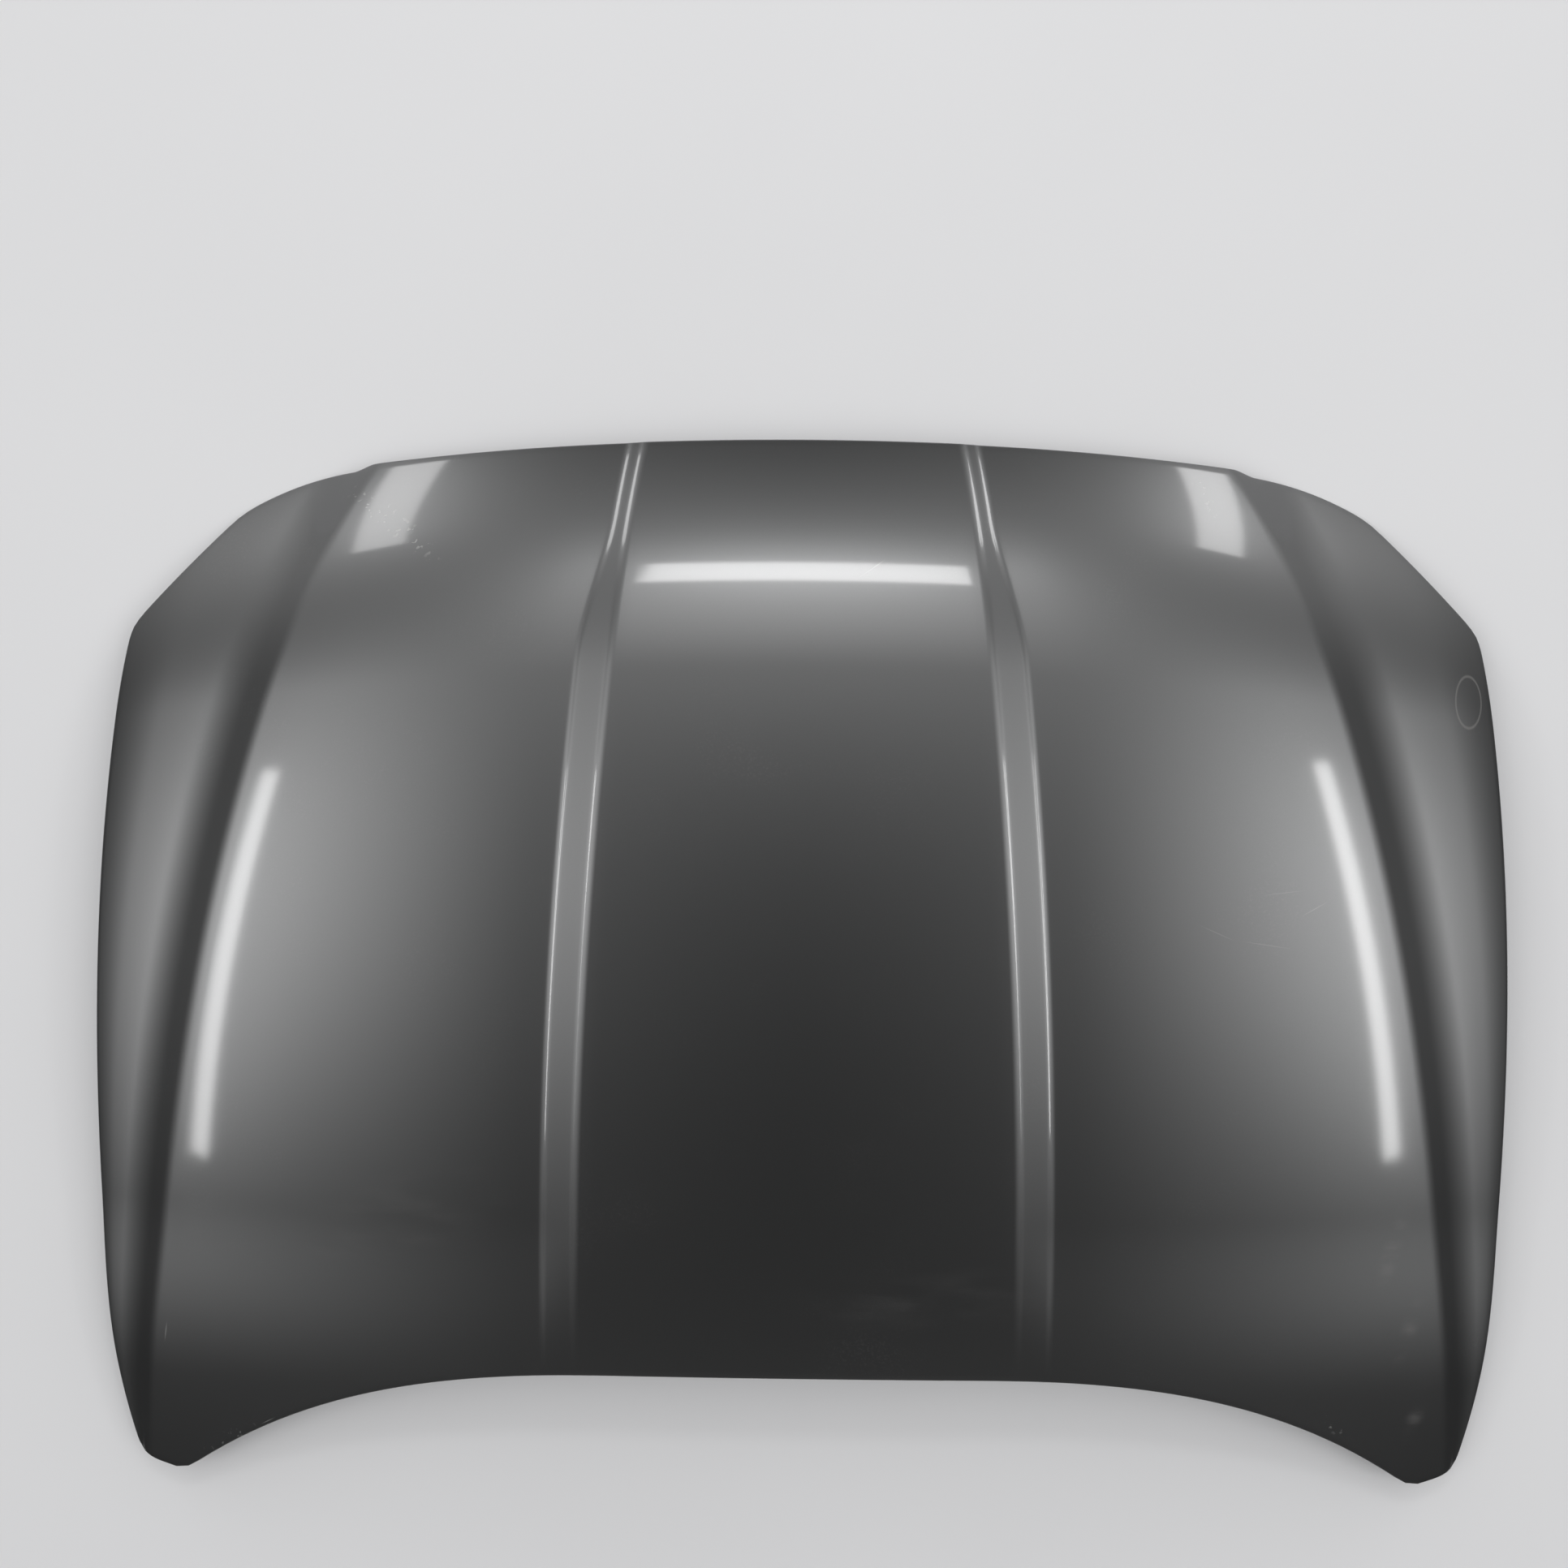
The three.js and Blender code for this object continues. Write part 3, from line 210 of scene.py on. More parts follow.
class Surface:
    """Plan curves of the right half and heights of the skin, for whole arrays.

    Y is measured from the rear tips here, and Z from the skin's own base.
    """

    def __init__(self, s):
        self.s = s
        self.fender_x = s.half_width - s.fender_narrowing
        self.fender_y = s.length - s.fender_setback
        self.lamp_x = self.fender_x - s.lamp_edge_width
        self.lamp_y = s.length - s.lamp_setback
        self.step_x = self.lamp_x - s.step_to_lamp
        self.hip_x = s.half_width - s.hip_narrowing
        self.tip_x = self.hip_x - s.tip_to_hip

    def nose_y(self, x):
        """A parabola through the nose."""
        s = self.s
        return s.length - s.nose_bow * (x / s.nose_bow_half_width) ** 2

    def front_y(self, x):
        """The nose, a small step, a parabola to the lamp corner, then a straight edge."""
        s = self.s
        step = s.step_depth * smooth(self.step_x - s.step_half_run, 2 * s.step_half_run, x)
        step_end = self.step_x + s.step_half_run
        run = self.lamp_x - step_end
        start = self.nose_y(step_end) - s.step_depth
        straight = -2 * s.nose_bow * step_end * run / s.nose_bow_half_width ** 2
        t = (x - step_end) / run
        wing = start + straight * t + (self.lamp_y - start - straight) * t * t
        lamp = mix(self.lamp_y, self.fender_y, (x - self.lamp_x) / s.lamp_edge_width)
        outer = np.where(x < self.lamp_x, wing, lamp)
        return np.where(x < step_end, self.nose_y(x) - step, outer)

    def rear_y(self, x):
        """Straight, then sweeping back to the tip by a power curve, then straight to the hip."""
        s = self.s
        reach = np.maximum(x - s.rear_flat_half_width, 0) / (self.tip_x - s.rear_flat_half_width)
        hollow = s.rear_hollow * (1 - reach ** s.rear_power)
        return np.where(x < self.tip_x, hollow, s.hip_y * (x - self.tip_x) / s.tip_to_hip)

    def side_x(self, y):
        """The half width less a power curve towards each end."""
        s = self.s
        forward = np.maximum(y - s.widest_y, 0) / (self.fender_y - s.widest_y)
        back = np.maximum(s.widest_y - y, 0) / (s.widest_y - s.hip_y)
        front = s.fender_narrowing * forward ** s.side_front_power
        return s.half_width - front - s.hip_narrowing * back ** s.side_rear_power

    def ridge_x(self, y):
        s = self.s
        back = np.clip((s.length - y) / (s.length - s.rear_hollow), 0, 1)
        return mix(s.ridge_front_x, s.ridge_rear_x, 1 - (1 - back) ** s.ridge_power)

    def foot_x(self, y):
        s = self.s
        taper = smooth(s.ridge_taper_setback, s.ridge_taper_length, s.length - y)
        return self.ridge_x(y) + mix(s.ridge_run_front, s.ridge_run, taper)

    def shoulder_x(self, y):
        s = self.s
        front_y = s.length - s.shoulder_front_setback
        back = np.clip((front_y - y) / front_y, -s.shoulder_overrun, 1)
        bow = s.shoulder_bow * (1 - (1 - back) ** s.shoulder_power)
        return s.half_width - s.shoulder_front_inset + s.shoulder_spread * back + bow

    def band(self, y):
        s = self.s
        fender = np.maximum(self.side_x(y) - self.shoulder_x(y), s.least_fender)
        return s.shoulder_band * (1 - np.exp(-fender / s.shoulder_band_taper))

    def centre_line_z(self, x, y):
        """An arch, a steady lift and a roll down at the nose that follows its bow."""
        s = self.s
        arch = s.crown_rise * (1 - ((y - s.crown_y) / s.crown_half_length) ** 2)
        near = np.clip(1 - (self.nose_y(x) - y) / s.nose_roll_length, 0, 2)
        return arch + s.lift_to_nose * y - s.nose_roll_drop * near ** s.nose_roll_power

    def slope_knots(self, y):
        """Places across the skin and the cross slope at each, which changes evenly between them."""
        s = self.s
        ridge = self.ridge_x(y)
        foot = self.foot_x(y)
        shoulder = self.shoulder_x(y)
        band = self.band(y)
        edge = np.maximum(self.side_x(y), shoulder + s.least_fender)
        valley = shoulder + band * (1 + s.band_blend)
        fade = smooth(s.ridge_fade_y, s.ridge_fade_length, y)
        ridge_slope = mix(s.centre_slope, s.ridge_slope, fade)
        crest_slope = mix(s.centre_slope, s.crest_slope, fade)
        return [
            (0 * y, 0),
            (ridge - s.ridge_fillet, s.centre_slope),
            (ridge, crest_slope),
            (ridge + s.ridge_crest, ridge_slope),
            (foot - s.foot_lead, ridge_slope),
            (foot - s.foot_crest, crest_slope),
            (foot + s.foot_fillet, s.ridge_foot_slope),
            (foot + s.foot_run, s.ridge_foot_slope),
            (shoulder - s.shoulder_lead, s.shoulder_top_slope),
            (shoulder + s.shoulder_fillet, s.shoulder_slope),
            (shoulder + band * (1 - s.band_blend), s.shoulder_slope),
            (valley, s.valley_slope),
            (mix(valley, edge, s.fender_crown_share), s.fender_crown_slope),
            (edge + s.least_fender, s.edge_slope),
        ]

    def skin_z(self, x, y):
        """The centre line's height less the sum of the cross slopes out to x."""
        reach = np.abs(x)
        knots = self.slope_knots(y)
        drop = 0
        for (start, start_slope), (end, end_slope) in zip(knots[:-1], knots[1:]):
            run = np.maximum(end - start, 1e-9)
            inside = np.clip(reach - start, 0, run)
            drop = drop + start_slope * inside + (end_slope - start_slope) * inside ** 2 / (2 * run)
        return self.centre_line_z(x, y) - drop

    def below(self, depth):
        """Heights of the skin less a depth, as a function of the place."""
        return lambda x, y: self.skin_z(x, y) - depth


PLAN_STEPS = 60
PLAN_EASE = 0.7
SLOPE_REACH = 0.005


class Plan:
    """A grid over the bonnet whose columns run along the pressed lines and whose rows run across."""

    def __init__(self, surface, guides, column_steps, row_shares):
        self.surface = surface
        self.guides = guides
        places = [0.0]
        for index, steps in enumerate(column_steps):
            places += [index + (n + 1) / steps for n in range(steps)]
        half = np.array(places)
        self.across = np.concatenate([-half[:0:-1], half])
        self.along = np.asarray(row_shares, float)

    def column_x(self, across, y, inset):
        """The place between two guide lines that a column keeps to, as a whole number plus a share."""
        lines = self.guides(self.surface, y, inset)
        x = lines[0]
        for index, (start, end) in enumerate(zip(lines[:-1], lines[1:])):
            x = np.where(across > index, mix(start, end, np.clip(across - index, 0, 1)), x)
        return x

    def stretch(self, curve, x):
        start = np.maximum(x - SLOPE_REACH, 0)
        end = x + SLOPE_REACH
        return np.hypot(1, (curve(end) - curve(start)) / (end - start))

    def points(self, across, along, inset):
        """Plan places of columns and rows, found by repeated steps, with the corners rounded."""
        inset = inset + self.surface.s.edge_trim
        side = np.sign(across)
        reach = np.abs(across)
        y = mix(self.surface.s.rear_hollow, self.surface.fender_y, along)
        x = 0 * y
        for _ in range(PLAN_STEPS):
            x = self.column_x(reach, y, inset)
            start = self.surface.rear_y(x) + inset * self.stretch(self.surface.rear_y, x)
            end = self.surface.front_y(x) - inset * self.stretch(self.surface.front_y, x)
            y = mix(y, mix(start, end, along), PLAN_EASE)
        x, y = self.rounded(x, y)
        return side * x, y

    def rounded(self, x, y):
        """Each corner's surroundings move in by an amount that falls off along both edges.

        A point is written as the corner plus a along one edge and b along the other. It moves
        by (round / 4) * (1 - (a + b) / round) squared along both, which bends the corner
        into a parabola that touches the edges at the rounding's length.
        """
        surface = self.surface
        length = surface.s.corner_round
        corners = [
            (surface.lamp_x, surface.lamp_y, surface.lamp_x - length, None, surface.front_y),
            (surface.tip_x, 0.0, surface.tip_x - length, None, surface.rear_y),
            (surface.fender_x, surface.fender_y, None, surface.fender_y - length, surface.front_y),
            (surface.hip_x, surface.s.hip_y, None, surface.s.hip_y + length, surface.rear_y),
        ]
        for corner_x, corner_y, near_x, near_y, curve in corners:
            far_x = corner_x + length if near_x is not None else corner_x - length
            first = np.array([far_x - corner_x, float(curve(far_x)) - corner_y])
            if near_x is not None:
                second = np.array([near_x - corner_x, float(curve(near_x)) - corner_y])
            else:
                second = np.array([float(surface.side_x(near_y)) - corner_x, near_y - corner_y])
            first = first / np.hypot(*first)
            second = second / np.hypot(*second)
            cross = first[0] * second[1] - first[1] * second[0]
            dx = x - corner_x
            dy = y - corner_y
            a = (dx * second[1] - dy * second[0]) / cross
            b = (first[0] * dy - first[1] * dx) / cross
            spread = np.maximum(a, 0) + np.maximum(b, 0)
            near = np.clip(1 - spread / length, 0, 1)
            move = length / 4 * near ** 2
            x = x + move * (first[0] + second[0])
            y = y + move * (first[1] + second[1])
        return x, y

    def grid(self, inset):
        across, along = np.meshgrid(self.across, self.along)
        return self.points(across, along, inset)

    def rim(self, inset):
        """The outline's points in order, a distance in from the edge."""
        last_column = len(self.across) - 1
        last_row = len(self.along) - 1
        columns = np.arange(last_column)
        rows = np.arange(last_row)
        i = np.concatenate([columns, np.full(last_row, last_column), last_column - columns,
                            np.zeros(last_row, int)])
        j = np.concatenate([np.zeros(last_column, int), rows, np.full(last_column, last_row),
                            last_row - rows])
        x, y = self.points(self.across[i], self.along[j], inset)
        return x, y, i, j


def mesh_from(name, positions, quads):
    """A smooth mesh from an array of places and an array of four-cornered faces."""
    mesh = bpy.data.meshes.new(name)
    mesh.vertices.add(len(positions))
    mesh.vertices.foreach_set("co", np.asarray(positions, np.float32).ravel())
    quads = np.asarray(quads, np.int32)
    mesh.loops.add(quads.size)
    mesh.loops.foreach_set("vertex_index", quads.ravel())
    mesh.polygons.add(len(quads))
    mesh.polygons.foreach_set("loop_start", np.arange(0, quads.size, quads.shape[1], dtype=np.int32))
    mesh.polygons.foreach_set("use_smooth", np.ones(len(quads), bool))
    mesh.update(calc_edges=True)
    mesh.validate()
    piece = bpy.data.objects.new(name, mesh)
    bpy.context.scene.collection.objects.link(piece)
    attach(piece, "root")
    return piece


def sheet_mesh(name, plan, inset, top_z, loops, bottom_z, lift):
    """A closed sheet: a top grid, loops that lead round its edge, and a bottom grid."""
    x, y = plan.grid(inset)
    rows, columns = x.shape
    middle = plan.surface.s.length / 2
    top = np.stack([x, y - middle, top_z(x, y) + lift], -1).reshape(-1, 3)
    bottom = np.stack([x, y - middle, bottom_z(x, y) + lift], -1).reshape(-1, 3)
    _, _, i, j = plan.rim(inset)
    rim = j * columns + i
    around = len(rim)
    rings = [rim]
    places = [top]
    total = len(top)
    for loop_inset, depth in loops:
        loop_x, loop_y, _, _ = plan.rim(loop_inset)
        z = depth(loop_x, loop_y) + lift
        places.append(np.stack([loop_x, loop_y - middle, z], -1))
        rings.append(total + np.arange(around))
        total += around
    places.append(bottom)
    rings.append(total + rim)
    corner = (np.arange(rows - 1)[:, None] * columns + np.arange(columns - 1)[None]).ravel()
    face = np.stack([corner, corner + 1, corner + columns + 1, corner + columns], -1)
    faces = [face, face[:, ::-1] + total]
    for near, far in zip(rings[:-1], rings[1:]):
        faces.append(np.stack([near, far, np.roll(far, -1), np.roll(near, -1)], -1))
    return mesh_from(name, np.concatenate(places), np.concatenate(faces))


BAND_SHARE = 0.5
FILLET_SHARE = 0.2


def skin_guides(surface, y, inset):
    """Lines that the skin's columns keep to: the pressed lines and the starts of their fillets."""
    s = surface.s
    side = surface.side_x(y) - inset
    shoulder = np.minimum(surface.shoulder_x(y), side - s.least_fender)
    ridge = surface.ridge_x(y)
    foot = surface.foot_x(y)
    band = np.minimum(surface.band(y) * (1 + s.band_blend), (side - shoulder) * BAND_SHARE)
    return [
        0 * y,
        ridge - s.ridge_fillet,
        ridge,
        ridge + s.ridge_crest,
        foot - s.foot_lead,
        foot - s.foot_crest,
        foot + s.foot_fillet,
        foot + s.foot_run,
        shoulder - 2 * s.shoulder_lead,
        np.minimum(shoulder + 2 * s.shoulder_fillet, mix(shoulder, side, FILLET_SHARE)),
        shoulder + band,
        side,
    ]


SKIN_COLUMN_STEPS = [16, 6, 4, 4, 4, 6, 8, 26, 12, 14, 22]


def fitted_lift(surface, plan):
    """How far the skin is raised, so that its highest point meets the top of the CAD skin."""
    x, y = plan.grid(0.0)
    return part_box("outer_skin")[1][2] - float(surface.skin_z(x, y).max())


def bonnet_surface(context):
    surface = Surface(context.scene.bonnet_shape)
    rows = context.scene.bonnet_sheets.row_count
    plan = Plan(surface, skin_guides, SKIN_COLUMN_STEPS, np.linspace(0, 1, rows))
    return surface, plan, fitted_lift(surface, plan)


FRAME_COLUMNS = [
    "centre", "striker_pad", "rib_wall_in", "rib_floor_in", "ridge", "rib_floor_out", "rib_wall_out",
    "panel_in", "panel_out", "channel_wall", "channel_floor", "tip", "shoulder", "band_foot", "valley",
    "lamp", "crown", "side",
]
FRAME_COLUMN_STEPS = [2, 4, 5, 3, 3, 5, 5, 4, 6, 5, 3, 4, 3, 3, 4, 4, 4]
FRAME_ROWS = {
    "rear": 0.0, "rear_floor": 0.045, "rear_wall": 0.061, "hinge_end": 0.16, "first_land": 0.25,
    "rib_a_wall": 0.345, "rib_a_floor": 0.36, "rib_a_floor_end": 0.405, "rib_a_wall_end": 0.42,
    "middle": 0.52, "rib_b_wall": 0.625, "rib_b_floor": 0.64, "rib_b_floor_end": 0.685,
    "rib_b_wall_end": 0.7, "third_land": 0.785, "nose_wall": 0.865, "nose_floor": 0.88,
    "pad_start": 0.91, "pad_end": 0.956, "seal_start": 0.97, "nose": 1.0,
}
FRAME_ROW_STEPS = [4, 5, 8, 7, 8, 5, 5, 5, 8, 8, 5, 5, 5, 7, 6, 5, 4, 5, 3, 4]
STRIKER_PAD_SHARE = 0.34
BAND_END_SHARE = 1.1
BAND_END_LIMIT = 0.4
PANEL_IN_SHARE = 0.25
PANEL_OUT_SHARE = 0.55
BAYS = [("rear_wall", "rib_a_wall"), ("rib_a_wall_end", "rib_b_wall"), ("rib_b_wall_end", "nose_wall")]
HOLE_SPANS = [("centre", "rib_wall_in", 1), ("rib_wall_out", "channel_wall", 2)]
CUT_DEPTH = 0.2


def column_number(name):
    return float(FRAME_COLUMNS.index(name))


class Frame:
    """The inner frame: lands under the skin, channels sunk to a crowned floor, and flat pads."""

    def __init__(self, surface, sizes):
        self.surface = surface
        self.f = sizes
        shares = []
        marks = list(FRAME_ROWS.values())
        for start, end, steps in zip(marks[:-1], marks[1:], FRAME_ROW_STEPS):
            shares += [mix(start, end, n / steps) for n in range(steps)]
        channel = self.channel_x(0.0, 0.0)
        crease = self.crease_x(0.0, 0.0)
        band_end = self.band_end_x(surface.lamp_y, 0.0)
        self.tip_share = (surface.tip_x - channel) / (crease - channel)
        self.lamp_share = (surface.lamp_x - band_end) / (surface.side_x(surface.lamp_y) - band_end)
        self.inset = sizes.hem_flat + sizes.rim_wall
        self.plan = Plan(surface, self.guides, FRAME_COLUMN_STEPS, [*shares, 1.0])
        self.middle = surface.s.length / 2
        pads = [
            ("channel_floor", "shoulder", "rear_floor", "hinge_end", sizes.hinge_sink),
            ("centre", "striker_pad", "pad_start", "pad_end", sizes.striker_sink),
            ("valley", "lamp", "pad_start", "pad_end", 0.0),
        ]
        self.pads = [(*pad, *self.pad_place(*pad)) for pad in pads]

    def crease_x(self, y, inset):
        limit = self.surface.side_x(y) - inset - self.surface.s.least_fender
        return np.minimum(self.surface.shoulder_x(y), limit)

    def channel_x(self, y, inset):
        f = self.f
        taper = smooth(f.channel_taper_y, f.channel_taper, y)
        return self.crease_x(y, inset) - mix(f.channel_rear, f.channel_front, taper)

    def band_end_x(self, y, inset):
        crease = self.crease_x(y, inset)
        limit = mix(crease, self.surface.side_x(y) - inset, BAND_END_LIMIT)
        return np.minimum(crease + self.surface.band(y) * BAND_END_SHARE, limit)

    def guides(self, surface, y, inset):
        """The lines that the frame's columns keep to, in the order of their names."""
        f = self.f
        side = surface.side_x(y) - inset
        ridge = surface.ridge_x(y)
        foot = surface.foot_x(y)
        crease = self.crease_x(y, inset)
        channel = self.channel_x(y, inset)
        band_end = self.band_end_x(y, inset)
        return [
            0 * y,
            ridge * STRIKER_PAD_SHARE,
            ridge - f.rib_inner_half - f.rib_wall,
            ridge - f.rib_inner_half,
            ridge,
            foot,
            foot + f.rib_foot,
            mix(foot + f.rib_foot, crease, PANEL_IN_SHARE),
            mix(foot + f.rib_foot, crease, PANEL_OUT_SHARE),
            channel - f.rib_wall,
            channel,
            mix(channel, crease, self.tip_share),
            crease,
            mix(crease, band_end, 0.5),
            band_end,
            mix(band_end, side, self.lamp_share),
            mix(band_end, side, mix(self.lamp_share, 1, 0.5)),
            side,
        ]

    def point(self, column, row):
        across = np.array([column_number(column)])
        x, y = self.plan.points(across, np.array([FRAME_ROWS[row]]), self.inset)
        return np.array([float(x[0]), float(y[0])])

    def corners(self, start, end, low, high):
        return [self.point(column, row) for column in (start, end) for row in (low, high)]

    def floor_z(self, x, y):
        """The crown without the pressed lines, kept clear of the skin."""
        f = self.f
        crown = self.surface.centre_line_z(x, y) - f.floor_depth
        crown = crown - f.cross_crown * (x / self.surface.s.half_width) ** 2
        return np.minimum(crown, self.surface.skin_z(x, y) - f.least_floor_depth)

    def pad_place(self, start, end, low, high, sink):
        """The middle of a pad and its height, below the lowest of its corners."""
        corners = np.array(self.corners(start, end, low, high))
        x, y = corners.mean(0)
        z = float(self.floor_z(corners[:, 0], corners[:, 1]).min()) - sink
        return (0.0 if start == "centre" else x), y, z

    def top_z(self, across, along, x, y):
        """Lands, with the channels' floor and the pads blended in by smooth steps."""
        reach = np.abs(across)

        def column_step(start, end):
            first = column_number(start)
            return smooth(first, column_number(end) - first, reach)

        def row_step(start, end):
            return smooth(FRAME_ROWS[start], FRAME_ROWS[end] - FRAME_ROWS[start], along)

        def band(step, wall, floor, floor_end, wall_end):
            return step(wall, floor) * (1 - step(floor_end, wall_end))

        channels = [
            band(column_step, "rib_wall_in", "rib_floor_in", "rib_floor_out", "rib_wall_out"),
            column_step("channel_wall", "channel_floor"),
            1 - row_step("rear_floor", "rear_wall"),
            band(row_step, "rib_a_wall", "rib_a_floor", "rib_a_floor_end", "rib_a_wall_end"),
            band(row_step, "rib_b_wall", "rib_b_floor", "rib_b_floor_end", "rib_b_wall_end"),
            row_step("nose_wall", "nose_floor"),
        ]
        land = 1.0
        for channel in channels:
            land = land * (1 - channel)
        z = mix(self.floor_z(x, y), self.surface.skin_z(x, y) - self.f.land_depth, land)
        rows = list(FRAME_ROWS)
        for start, end, low, high, _, _, _, pad_z in self.pads:
            column = FRAME_COLUMNS.index(start)
            inner = 1.0 if column == 0 else column_step(FRAME_COLUMNS[column - 1], start)
            outer = 1 - column_step(end, FRAME_COLUMNS[FRAME_COLUMNS.index(end) + 1])
            back = row_step(rows[rows.index(low) - 1], low)
            front = 1 - row_step(high, rows[rows.index(high) + 1])
            z = mix(z, pad_z, inner * outer * back * front)
        return z

    def holes(self):
        """Centre, width, length and turn of each lightening hole."""
        f = self.f
        holes = []
        for start, end, across in HOLE_SPANS:
            for low, high in BAYS:
                corners = self.corners(start, end, low, high)
                inner = (corners[0] + corners[1]) / 2
                outer = (corners[2] + corners[3]) / 2
                field = (outer[0] - inner[0]) / across
                for n in range(across):
                    share = (n + 0.5) / across
                    near = mix(corners[0], corners[2], share)
                    far = mix(corners[1], corners[3], share)
                    run = far - near
                    width = min(field - 2 * f.hole_side_margin, f.hole_limit)
                    length = min(float(np.hypot(*run)) - 2 * f.hole_end_margin, f.hole_limit)
                    turn = math.atan2(-run[0], run[1])
                    centre = (near + far) / 2
                    holes.append((centre, width, length, turn))
                    holes.append((centre * (-1, 1), width, length, -turn))
        return holes

    def fixings(self):
        """Centre and diameter of each bolt, screw and buffer hole."""
        f = self.f
        hinge, striker, rest = [(pad[5], pad[6]) for pad in self.pads]
        fixings = []
        for side in (-1, 1):
            for end in (-0.5, 0.5):
                fixings.append(((side * hinge[0], hinge[1] + end * f.bolt_spacing), f.bolt_hole))
            fixings.append(((side * f.screw_spacing / 2, striker[1]), f.bolt_hole))
            fixings.append(((side * rest[0], rest[1]), f.buffer_hole))
        return fixings


HOLE_CORNER_STEPS = 8
ROUND_STEPS = 32


def rounded_outline(centre, width, length, corner, turn, grow=0.0):
    """The outline of a rounded rectangle, grown outward."""
    radius = corner + grow
    points = []
    for quarter, (sx, sy) in enumerate([(1, 1), (-1, 1), (-1, -1), (1, -1)]):
        for n in range(HOLE_CORNER_STEPS + 1):
            angle = math.pi / 2 * (quarter + n / HOLE_CORNER_STEPS)
            points.append((sx * (width / 2 - corner) + radius * math.cos(angle),
                           sy * (length / 2 - corner) + radius * math.sin(angle)))
    points = np.array(points)
    cos, sin = math.cos(turn), math.sin(turn)
    return points @ np.array([[cos, sin], [-sin, cos]]) + centre


def round_outline(centre, diameter):
    angle = 2 * math.pi * np.arange(ROUND_STEPS) / ROUND_STEPS
    return np.stack([np.cos(angle), np.sin(angle)], -1) * diameter / 2 + centre


def prism_faces(first, around):
    """Faces of a closed prism whose bottom ring starts at a vertex and whose top ring follows."""
    faces = [list(range(first + around - 1, first - 1, -1))]
    faces.append(list(range(first + around, first + 2 * around)))
    for n in range(around):
        following = (n + 1) % around
        faces.append([first + n, first + following, first + around + following, first + around + n])
    return faces


def punch(piece, outlines):
    """Cuts prisms through a piece."""
    places = []
    faces = []
    for outline in outlines:
        faces += prism_faces(len(places), len(outline))
        places += [(x, y, -CUT_DEPTH) for x, y in outline] + [(x, y, CUT_DEPTH) for x, y in outline]
    mesh = bpy.data.meshes.new("punch")
    mesh.from_pydata(places, [], faces)
    cutter = bpy.data.objects.new("punch", mesh)
    bpy.context.scene.collection.objects.link(cutter)
    modifier = piece.modifiers.new("holes", "BOOLEAN")
    modifier.operation = "DIFFERENCE"
    modifier.solver = "EXACT"
    modifier.object = cutter
    bpy.context.view_layer.update()
    evaluated = piece.evaluated_get(bpy.context.evaluated_depsgraph_get())
    cut = bpy.data.meshes.new_from_object(evaluated)
    piece.modifiers.clear()
    piece.data = cut
    bpy.data.objects.remove(cutter)


def lip_mesh(inner, lift):
    """Turned edges: a bevelled ring hanging under the frame round each lightening hole."""
    f = inner.f
    surface = inner.surface
    profile = [(0.0, 0.0), (0.0, f.lip_height), (f.lip_width * 0.5, f.lip_height), (f.lip_width * 2, 0.0)]
    places = []
    faces = []
    total = 0
    for centre, width, length, turn in inner.holes():
        rings = []
        for grow, drop in profile:
            outline = rounded_outline(centre, width, length, f.hole_corner, turn, grow)
            x, y = outline[:, 0], outline[:, 1]
            z = surface.skin_z(x, y) - f.land_depth - f.frame_sheet / 2 - drop
            rings.append(np.stack([x, y - inner.middle, z + lift], -1))
        around = len(rings[0])
        numbers = total + np.arange(around * len(rings)).reshape(len(rings), around)
        for near, far in zip(numbers, np.roll(numbers, -1, axis=0)):
            faces.append(np.stack([near, np.roll(near, -1), np.roll(far, -1), far], -1))
        places += rings
        total += around * len(rings)
    return mesh_from("hole_lips", np.concatenate(places), np.concatenate(faces))


class Socket:
    """A shader value whose sums and products add Math nodes."""

    def __init__(self, shader, link):
        self.shader = shader
        self.link = link

    def maths(self, operation, *values):
        return self.shader.node("ShaderNodeMath", {"operation": operation}, *values)

    def __add__(self, other):
        return self.maths("ADD", self, other)

    def __sub__(self, other):
        return self.maths("SUBTRACT", self, other)

    def __mul__(self, other):
        return self.maths("MULTIPLY", self, other)

    def __radd__(self, other):
        return self.maths("ADD", other, self)

    def __rsub__(self, other):
        return self.maths("SUBTRACT", other, self)

    def __rmul__(self, other):
        return self.maths("MULTIPLY", other, self)

    def __abs__(self):
        return self.maths("ABSOLUTE", self)

    def rise(self, start, end):
        """A smooth step from 0 at start to 1 at end."""
        settings = {"interpolation_type": "SMOOTHSTEP"}
        return self.shader.node("ShaderNodeMapRange", settings, self, start, end, 0.0, 1.0)

    def least(self, other):
        return self.maths("MINIMUM", self, other)

    def most(self, other):
        return self.maths("MAXIMUM", self, other)


